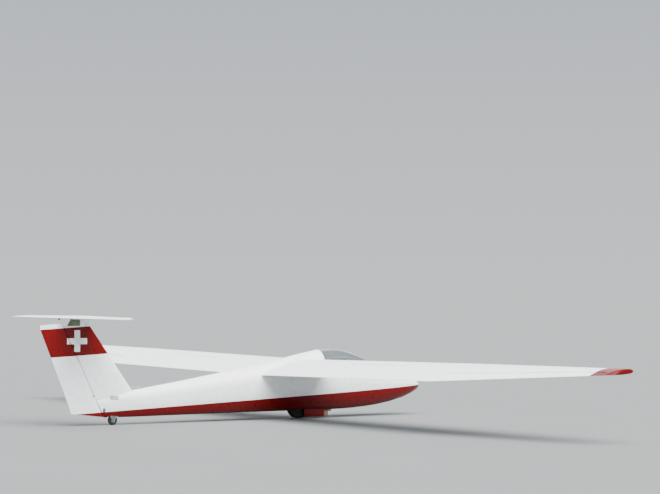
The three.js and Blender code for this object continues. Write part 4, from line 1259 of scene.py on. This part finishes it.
def add_vent():
    """The vent window in the port side's glass: its frame, its pane and its knob."""
    (x0, x1), (z0, z1), frame_width = VENT["x"], VENT["z"], VENT["frame"]
    outline = rounded_outline(x0, x1, z0, z1, VENT["corner"])
    runner = [(-7, -1), (7, -1), (7, 1.4), (5.5, 2.4), (-5.5, 2.4), (-7, 1.4)]
    bm = bmesh.new()
    swept(bm, traced(outline, 1, 1.2), runner, up=(0, 1, 0), closed=True)
    prepared("vent_frame", bm, "canopy", "white_paint", PLAIN_ENAMEL)
    laid_plate("vent_pane", (x0 + frame_width, x1 - frame_width), (z0 + frame_width, z1 - frame_width),
               1, 2.4, CANOPY_GLASS, "canopy_glass", "canopy", cuts=(12, 6), round_mm=20)
    bm = bmesh.new()
    knob = [(0, 0), (6, 0), (5, 4), (8, 9), (8, 13), (6, 15), (0, 15.5)]
    turned(bm, knob, traced([VENT_KNOB], 1, 2.0)[0], (0, 0.9, 0.45), 20)
    prepared("vent_knob", bm, "canopy", "panel_black", GRIP)


# Cockpit

# The lines of seat and back in side view, and the pads' half width, in millimetres
SEAT_LINE = {"seat": ((2138, 317), (1856, 262)), "back": ((1776, 290), (1606, 676))}
PAD_HALF = 176
VOXEL_MM = 7
SWELL_MM = 7
STUFFING = {"pressure": 4.0, "frames": 20}
CHANNEL = {"depth": 6, "half_width": 5}
PIPING_RADIUS = 2.4
STRAP = {"width": 44, "thick": 2.4}


class Slope:
    """A seat or back line: places are measured along it from its start, across, and out from it."""

    def __init__(self, start, end):
        self.start = Vector((start[0] * MM, 0, start[1] * MM))
        along = Vector((end[0] - start[0], 0, end[1] - start[1])) * MM
        self.length = along.length
        self.along = along.normalized()
        self.out = Vector((0, 1, 0)).cross(self.along)

    def place(self, along, across, out):
        """A point of the slope's own measure, in the aircraft's."""
        return self.start + self.along * along + Vector((0, across, 0)) + self.out * out

    def measure(self, point):
        """A point's place along the slope, across it and out from it."""
        offset = point - self.start
        return offset.dot(self.along), offset.y, offset.dot(self.out)


def stuffed(bm, cap):
    """Swells a closed form like a stuffed cover, by cloth under pressure, no further than a cap."""
    mesh = bpy.data.meshes.new("pad_form")
    bm.to_mesh(mesh)
    pad = bpy.data.objects.new("pad_form", mesh)
    bpy.context.scene.collection.objects.link(pad)
    remesh = pad.modifiers.new("even", "REMESH")
    remesh.mode = "VOXEL"
    remesh.voxel_size = VOXEL_MM * MM
    evened = bpy.data.meshes.new_from_object(pad.evaluated_get(bpy.context.evaluated_depsgraph_get()))
    pad.modifiers.clear()
    pad.data = evened
    rest = [vert.co.copy() for vert in evened.vertices]
    cloth = pad.modifiers.new("stuffing", "CLOTH")
    cloth.settings.use_pressure = True
    cloth.settings.uniform_pressure_force = STUFFING["pressure"]
    cloth.settings.effector_weights.gravity = 0.0
    cloth.point_cache.frame_end = STUFFING["frames"]
    for step in range(STUFFING["frames"]):
        bpy.context.scene.frame_set(step + 1)
    swollen = bpy.data.meshes.new_from_object(
        pad.evaluated_get(bpy.context.evaluated_depsgraph_get()))
    moved = [vert.co.copy() for vert in swollen.vertices]
    pad.modifiers.clear()
    bpy.context.scene.frame_set(1)
    for vert, before, after in zip(evened.vertices, rest, moved):
        shift = after - before
        vert.co = before + shift * min(1.0, cap / max(shift.length, 1e-9))
    bpy.data.objects.remove(pad)
    return evened


def add_pad(name, slope, reach, half_width, thick, channels, node=None):
    """A stuffed cushion on a slope: crowned, flat where it rests, with sewn channels and piping."""
    start, end = reach
    swell = SWELL_MM * MM
    bm = bmesh.new()
    made = bmesh.ops.create_cube(bm, size=1.0)["verts"]
    for vert in made:
        vert.co = slope.place(
            start + swell + (vert.co.x + 0.5) * (end - start - 2 * swell),
            vert.co.y * 2 * (half_width - swell),
            1.5 * MM + (vert.co.z + 0.5) * (thick - swell))
    bmesh.ops.recalc_face_normals(bm, faces=bm.faces)
    bmesh.ops.bevel(bm, geom=bm.edges[:], offset=thick * 0.34, segments=3, affect="EDGES", profile=0.5)
    mesh = stuffed(bm, swell)
    bm.free()
    bm = bmesh.new()
    bm.from_mesh(mesh)
    for vert in bm.verts:
        along, across, out = slope.measure(vert.co)
        pulled = max(out, 0.6 * MM)
        if out > thick * 0.45:
            for k in range(channels):
                line = start + (end - start) * (k + 1) / (channels + 1)
                beside = (along - line) / (CHANNEL["half_width"] * MM)
                pulled -= CHANNEL["depth"] * MM * math.exp(-beside ** 2)
        vert.co = slope.place(along, across, pulled)
    bmesh.ops.subdivide_edges(bm, edges=bm.edges[:], cuts=1, use_grid_fill=True, smooth=0.6)
    bmesh.ops.recalc_face_normals(bm, faces=bm.faces)
    tree = BVHTree.FromBMesh(bm)
    pad = prepared(name, bm, "airframe", "cushion", CUSHION, sharp_deg=70)
    if node:
        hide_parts(node)
    centre = (start + end) / 2
    piping = []
    for along, across in rounded_outline(start / MM, end / MM, -half_width / MM, half_width / MM, 30):
        inside, outside = (
            slope.place(centre + (along * MM - centre) * part, across * MM * part, thick / 2)
            for part in (0.7, 1.4))
        hit = tree.ray_cast(outside, (inside - outside).normalized())[0]
        if hit:
            piping.append(hit)
    bm = bmesh.new()
    swept(bm, piping, round_section(PIPING_RADIUS, 8), up=slope.out, closed=True)
    prepared(name + "_piping", bm, "airframe", "cushion", PIPING)
    return tree


def add_seat():
    """Seat and back cushions, the headrest, and a four-strap harness with its buckle."""
    seat, back = Slope(*SEAT_LINE["seat"]), Slope(*SEAT_LINE["back"])
    seat_tree = add_pad("seat_cushion", seat, (0.004, seat.length - 0.004), PAD_HALF * MM, 38 * MM, 2)
    back_tree = add_pad("back_cushion", back, (0.006, back.length - 0.004), PAD_HALF * MM, 34 * MM, 4)
    low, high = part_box("headrest")
    rest = Slope((low[0] / MM, low[2] / MM + 1), (low[0] / MM, high[2] / MM - 1))
    add_pad("stuffed_headrest", rest, (0.001, rest.length - 0.001), (high[1] - low[1]) / 2 - 1 * MM,
            high[0] - low[0] - 1 * MM, 1, node="headrest")

    def on_pad(slope, tree, along, across):
        """A place just over a pad, for what lies on it."""
        hit = tree.ray_cast(slope.place(along, across, 0.2), -slope.out)[0]
        return (hit or slope.place(along, across, 0.036)) + slope.out * (0.8 * MM)

    bm = bmesh.new()
    section = strap_section(STRAP["width"], STRAP["thick"])
    for sign in (-1, 1):
        shoulder = [Vector((1.594, sign * 0.085, 0.700))]
        shoulder += [
            on_pad(back, back_tree, back.length * (0.97 - 0.09 * k), sign * (0.085 - 0.004 * k))
            for k in range(10)]
        shoulder += [
            on_pad(seat, seat_tree, seat.length * (0.95 - 0.06 * k), sign * (0.045 - 0.005 * k))
            for k in range(5)]
        swept(bm, smoothed(shoulder), section, up=(1, 0, 0.6))
        hip = [on_pad(seat, seat_tree, seat.length * (0.93 - 0.06 * k), sign * (0.168 - 0.028 * k))
               for k in range(6)]
        swept(bm, smoothed(hip), section, up=seat.out)
    prepared("harness_straps", bm, "airframe", "cushion", WEBBING, sharp_deg=50)
    bm = bmesh.new()
    buckle = on_pad(seat, seat_tree, seat.length * 0.62, 0.0) + seat.out * (2.5 * MM)
    turned(bm, [(0, 0), (30, 0), (32, 2), (32, 8), (28, 11), (14, 12), (12, 15), (0, 15.5)], buckle,
           seat.out, 32)
    for sign in (-1, 1):
        for slope, tree, along, across in (
                (back, back_tree, 0.62, 0.072), (seat, seat_tree, 0.80, 0.108)):
            spot = on_pad(slope, tree, slope.length * along, sign * across) + slope.out * (3.4 * MM)
            ring = [spot + slope.along * (a * MM) + Vector((0, b * MM, 0)) for a, b in (
                (-14, -25), (14, -25), (14, 25), (-14, 25))]
            swept(bm, ring, round_section(2.2, 8), up=slope.out, closed=True)
    prepared("harness_buckles", bm, "airframe", "steel", STEEL)


DIALS = (
    # across, height, radius of the face, needle angle, number of ticks, in millimetres and degrees
    (-96, 655, 38, 215, 24), (0, 668, 38, 320, 20), (96, 655, 38, 95, 24),
    (-52, 575, 27, 150, 12), (52, 575, 27, 20, 16))
DIAL_SWEEP_DEG = {"first": 30, "whole": 300}
# Places along the aircraft in millimetres: just off the panel's face, the dials' marks and needle
# hubs before it, and its back
PANEL_FACE_X = 2469.8
MARKS_X = 2467.8
NEEDLE_HUB_X = 2468
PANEL_BACK_X = 2478.2
SWITCHES = {"first_y": -60, "pitch": 30, "count": 5, "z": 512}
RELEASE_KNOB = {"y": 112, "z": 536}
TO_PILOT = (-1, 0, 0)


def around(x, y, z, radius, angle_deg):
    """A point of a ring on the panel, in metres, with its angle from upright."""
    angle = math.radians(angle_deg)
    return point_of(x, y + radius * math.sin(angle), z + radius * math.cos(angle))


def add_dial(rims, faces, marks, y, z, radius, needle, ticks):
    """A dial: its rim with four screws, its face, its ticks and needle, and its case behind."""
    place = point_of(PANEL_FACE_X, y, z)
    rim = ringed((radius - 1, 0), (radius + 5, 0), (radius + 5, 3), (radius + 2.5, 6), (radius, 6),
                 (radius - 1, 3))
    turned(rims, rim, place, TO_PILOT, 40)
    turned(faces, solid((radius - 0.8, 0), (radius - 0.8, 1.6)), place, TO_PILOT, 40)
    for angle_deg in (45, -45, -135, -225):
        screw_place = around(PANEL_FACE_X, y, z, radius + 8, angle_deg)
        turned(rims, solid((2.6, 0), (1.8, 1.6)), screw_place, TO_PILOT, 10)
    for k in range(ticks):
        half, inner = (1, radius * 0.74) if k % 4 == 0 else (0.5, radius * 0.82)
        angle_deg = DIAL_SWEEP_DEG["first"] + DIAL_SWEEP_DEG["whole"] * k / (ticks - 1)
        tick = [around(MARKS_X, y, z, reach, angle_deg) for reach in (inner, radius * 0.92)]
        swept(marks, tick, [(-half, -0.5), (half, -0.5), (half, 0.5), (-half, 0.5)], up=(1, 0, 0))
    pointer = [around(MARKS_X, y, z, reach, needle) for reach in (-radius * 0.2, radius * 0.72)]
    swept(marks, pointer, [(-1.1, 0.4), (1.1, 0.4), (0.8, 1.3), (-0.8, 1.3)], up=TO_PILOT)
    turned(marks, solid((4, 0), (3.4, 2.4)), point_of(NEEDLE_HUB_X, y, z), TO_PILOT, 16)
    case = solid((radius, 0), (radius, 52), (radius - 5, 58), (8, 58), (8, 70))
    turned(rims, case, point_of(PANEL_BACK_X, y, z), (1, 0, 0), 32)


def add_instruments():
    """Five dials, a row of switches, and the tow release knob."""
    rims, faces, marks = bmesh.new(), bmesh.new(), bmesh.new()
    for dial in DIALS:
        add_dial(rims, faces, marks, *dial)
    switch = [(0, 0), (6, 0), (6, 2.4), (3, 3.4), (2.2, 16), (3, 18), (2.4, 20), (0, 20.5)]
    for k in range(SWITCHES["count"]):
        y = SWITCHES["first_y"] + SWITCHES["pitch"] * k
        turned(rims, switch, point_of(PANEL_FACE_X, y, SWITCHES["z"]), (-1, 0, 0.35), 14)
    prepared("dial_rims", rims, "airframe", "panel_black", GRIP)
    prepared("dial_faces", faces, "airframe", "panel_black", CRACKLE)
    prepared("dial_marks", marks, "airframe", "white_paint", PLAIN_ENAMEL)
    bm = bmesh.new()
    knob = [(0, 0), (11, 0), (11, 2.5), (4, 4), (4, 26), (10, 30), (16, 36), (17.5, 43), (14, 50),
            (6, 53.5), (0, 54)]
    turned(bm, knob, point_of(PANEL_FACE_X, *RELEASE_KNOB.values()), TO_PILOT, 24)
    prepared("release_knob", bm, "airframe", "panel_black", YELLOW_KNOB)


STICK_FOOT = (2290, 0, 216.3)
STICK_TUBE = ((2285, 268), (2268, 330), (2244, 430), (2226, 510), (2215, 560))
STICK_GRIP = {"foot": (2215, 0, 555), "way": (-0.176, 0, 0.984)}
BELLOWS = {"folds": 5, "radius": 44, "taper": 6.2, "deep": 7, "pitch": 13}
TREAD_BARS = {"x": (2686.5, 2690.5), "count": 5, "first_down": 14, "pitch": 22, "half": 4, "inset": 6}


def add_controls():
    """The stick with its bellows and shaped grip, and tread bars on the pedals."""
    bm = bmesh.new()
    folds = [(0, 0), (48, 0), (48, 3)]
    for k in range(BELLOWS["folds"]):
        radius, height = BELLOWS["radius"] - BELLOWS["taper"] * k, 6 + BELLOWS["pitch"] * k
        folds += [(radius, height), (radius - BELLOWS["deep"], height + 6)]
    folds += [(13, 74), (0, 75)]
    turned(bm, folds, point_of(*STICK_FOOT), (-0.12, 0, 1), 32)
    bellows = prepared("stick_bellows", bm, BODY_OF["control_stick"], "panel_black", SEAL, sharp_deg=60)
    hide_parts("control_stick")
    bm = bmesh.new()
    stem = [Vector(point_of(x, 0, z)) for x, z in STICK_TUBE]
    swept(bm, smoothed(stem), round_section(10.5, 16), up=(0, 1, 0))
    prepared("stick_tube", bm, BODY_OF["control_stick"], "panel_black", CRACKLE)
    bm = bmesh.new()
    grip = [(0, 0), (12, 0), (15.5, 3), (16.8, 10), (15, 17), (16.8, 24), (15, 31), (16.8, 38), (15, 45),
            (16.8, 53), (16, 62), (16.8, 72), (14, 80), (7, 83), (6.5, 85), (0, 85.5)]
    turned(bm, grip, point_of(*STICK_GRIP["foot"]), STICK_GRIP["way"], 24)
    prepared("stick_grip", bm, BODY_OF["control_stick"], "panel_black", GRIP, sharp_deg=60)
    rear_x, front_x = TREAD_BARS["x"]
    half, inset = TREAD_BARS["half"], TREAD_BARS["inset"]
    for side, _ in SIDES:
        low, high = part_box(f"rudder_pedal_{side}")
        bm = bmesh.new()
        for k in range(TREAD_BARS["count"]):
            z = high[2] / MM - TREAD_BARS["first_down"] - TREAD_BARS["pitch"] * k
            block(bm, (rear_x, low[1] / MM + inset, z - half),
                  (front_x, high[1] / MM - inset, z + half), 1.2)
        prepared(f"pedal_treads_{side}", bm, BODY_OF[f"rudder_pedal_{side}"], "tyre_rubber", SEAL)


LEVER_Z = 560
LEVER_X = (1900, 2320)
LEVER_Y = (262, 247)
LEVER_GUIDES = ((1930, 260.9), (2280, 248.4))
LEVER_GRIP = {"foot": (2320, 220, 572.6), "way": (0, -0.894, 0.447)}


def add_lever():
    """The airbrake lever: a polished push rod in two wall guides, a crank and a shaped blue grip."""
    start = Vector(point_of(LEVER_X[0], LEVER_Y[0], LEVER_Z))
    end = Vector(point_of(LEVER_X[1], LEVER_Y[1], LEVER_Z))
    reach = (end - start).length / MM
    bm = bmesh.new()
    push_rod = solid((6.4, 0), (8, 1.6), (8, reach - 1), (9, reach), (9, reach + 6), (7, reach + 8))
    turned(bm, push_rod, start, end - start, 20)
    turned(bm, solid((7, 0), (7, 30), (9.5, 33), (9.5, 38)), end, (0, -0.906, 0.423), 20)
    rod = prepared("lever_push_rod", bm, BODY_OF["airbrake_lever"], "alloy", ALLOY)
    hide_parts("airbrake_lever")
    bm = bmesh.new()
    walls = merged("cockpit_shell")
    tree = BVHTree.FromBMesh(walls)
    walls.free()
    bearing = ringed((8.1, -9), (11.5, -9), (12, -8), (12, 8), (11.5, 9), (8.1, 9))
    for x, y in LEVER_GUIDES:
        place = point_of(x, y, LEVER_Z)
        wall = tree.ray_cast(Vector(point_of(x, 150, LEVER_Z)), Vector((0, 1, 0)))[0]
        depth = wall.y / MM - y
        turned(bm, bearing, place, end - start, 24)
        foot = solid((6, 9), (6, depth - 4), (17, depth - 4), (17, depth))
        turned(bm, foot, place, (0, 1, 0), 20)
        for step in (-11, 11):
            bolt_place = point_of(x + step, wall.y / MM - 4, LEVER_Z)
            turned(bm, hexagon_head(3, 2.4), bolt_place, (0, -1, 0), 6)
    prepared("lever_guides", bm, BODY_OF["airbrake_lever"], "steel", STEEL)
    bm = bmesh.new()
    grip = [(0, 0), (9, 0), (13, 3), (14.5, 9), (13.4, 17), (14.8, 26), (15, 36), (13, 42), (8, 45.4),
            (0, 46)]
    turned(bm, grip, point_of(*LEVER_GRIP["foot"]), LEVER_GRIP["way"], 28)
    prepared("lever_grip", bm, BODY_OF["airbrake_lever"], "lever_blue", KNOB, sharp_deg=50)


CABIN_FORMERS = (1.70, 1.86, 2.02, 2.18, 2.34, 2.50, 2.66, 2.82, 2.98)
CABIN_STRINGERS = (0.520, 0.400, 0.290)
WALL_TOP_DOWN = 0.047
FLOOR_ROWS = (-0.150, 0.150)


def add_cabin_lining():
    """Formers and stringers on the cabin's bare walls, and rivets that hold the floor down."""
    def on_wall(point, way):
        """The cabin's side walls, up to a little below the sill."""
        return over_sill(point) < -WALL_TOP_DOWN and not outward(point, way) and abs(way.x) < 0.6

    formers = rows_on(("cockpit_shell",), [upright(x=x) for x in CABIN_FORMERS], on_wall)
    grown("cabin_formers", formers, BEADS, COCKPIT_ENAMEL, "airframe", "cockpit_grey", Radius=6.5)
    stringers = rows_on(("cockpit_shell",), [upright(z=z) for z in CABIN_STRINGERS], on_wall)
    grown("cabin_stringers", stringers, BEADS, COCKPIT_ENAMEL, "airframe", "cockpit_grey", Radius=3.6)
    rivets("floor_rivets", ("cockpit_floor",), [upright(y=y) for y in FLOOR_ROWS], COCKPIT_ENAMEL,
           lambda point, way: way.z > 0.9)


def add_hinge_screws():
    """Two screws through each canopy hinge's fixed leaf."""
    head = [(0, -0.2), (3.8, -0.2), (3.4, 0.9), (1.8, 1.7), (0, 1.9)]
    for name in ("rear", "front"):
        node = f"canopy_hinge_{name}"
        low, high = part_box(node)
        middle, height = (low[0] + high[0]) / 2 / MM, low[2] / MM + 10
        bm = bmesh.new()
        for step in (-11, 11):
            turned(bm, head, *on_side(middle + step, height, -1), 16)
        prepared(node + "_screws", bm, BODY_OF[node], "steel", STEEL)


add_canopy_fittings()
add_vent()
add_hinge_screws()
add_cabin_lining()
add_seat()
add_instruments()
add_controls()
add_lever()


# Stage and camera

def add_floor():
    """A flat pale floor, wide enough to reach the horizon."""
    bm = bmesh.new()
    bmesh.ops.create_circle(bm, cap_ends=True, segments=64, radius=FLOOR_RADIUS)
    mesh = bpy.data.meshes.new("studio_floor")
    bm.to_mesh(mesh)
    bm.free()
    mesh.materials.append(studio_floor())
    floor = bpy.data.objects.new("studio_floor", mesh)
    bpy.context.scene.collection.objects.link(floor)


def add_light(name, from_way, spread_deg, strength):
    """A broad soft light from one side, so wide that its shadows have soft edges."""
    lamp = bpy.data.lights.new(name, "SUN")
    lamp.angle = math.radians(spread_deg)
    lamp.energy = strength
    light = bpy.data.objects.new(name, lamp)
    light.rotation_euler = (-Vector(from_way)).to_track_quat("-Z", "Y").to_euler()
    bpy.context.scene.collection.objects.link(light)


def add_sky():
    """A pale surround, brightest at the horizon and quieter overhead."""
    world = bpy.data.worlds.new("studio_surround")
    world.use_nodes = True
    tree = world.node_tree
    tree.nodes.clear()
    way = add_node(tree, "ShaderNodeTexCoord").outputs["Generated"]
    height = add_node(tree, "ShaderNodeSeparateXYZ", {0: way}).outputs[2]
    fade = add_node(tree, "ShaderNodeMapRange", {
        0: height, 1: 0.0, 2: SKY["fade_height"], 3: 0.0, 4: 1.0})
    tone = add_node(tree, "ShaderNodeMix", {
        "Factor": fade.outputs[0], "A": linear(SKY["horizon"]), "B": linear(SKY["overhead"])},
        data_type="RGBA")
    light = add_node(tree, "ShaderNodeBackground", {
        "Color": tone.outputs["Result"], "Strength": SKY["strength"]})
    add_node(tree, "ShaderNodeOutputWorld", {"Surface": light.outputs[0]})
    bpy.context.scene.world = world


def add_camera():
    """The photograph's viewpoint."""
    data = bpy.data.cameras.new("photo_camera")
    data.lens = CAMERA_LENS_MM
    data.clip_end = 2000
    camera = bpy.data.objects.new("photo_camera", data)
    camera.location = CAMERA_PLACE
    camera.rotation_euler = [math.radians(turn) for turn in CAMERA_TURN_DEG]
    bpy.context.scene.collection.objects.link(camera)
    bpy.context.scene.camera = camera


add_floor()
add_sky()
add_light("key_light", **KEY_LIGHT)
add_light("fill_light", **FILL_LIGHT)
add_camera()
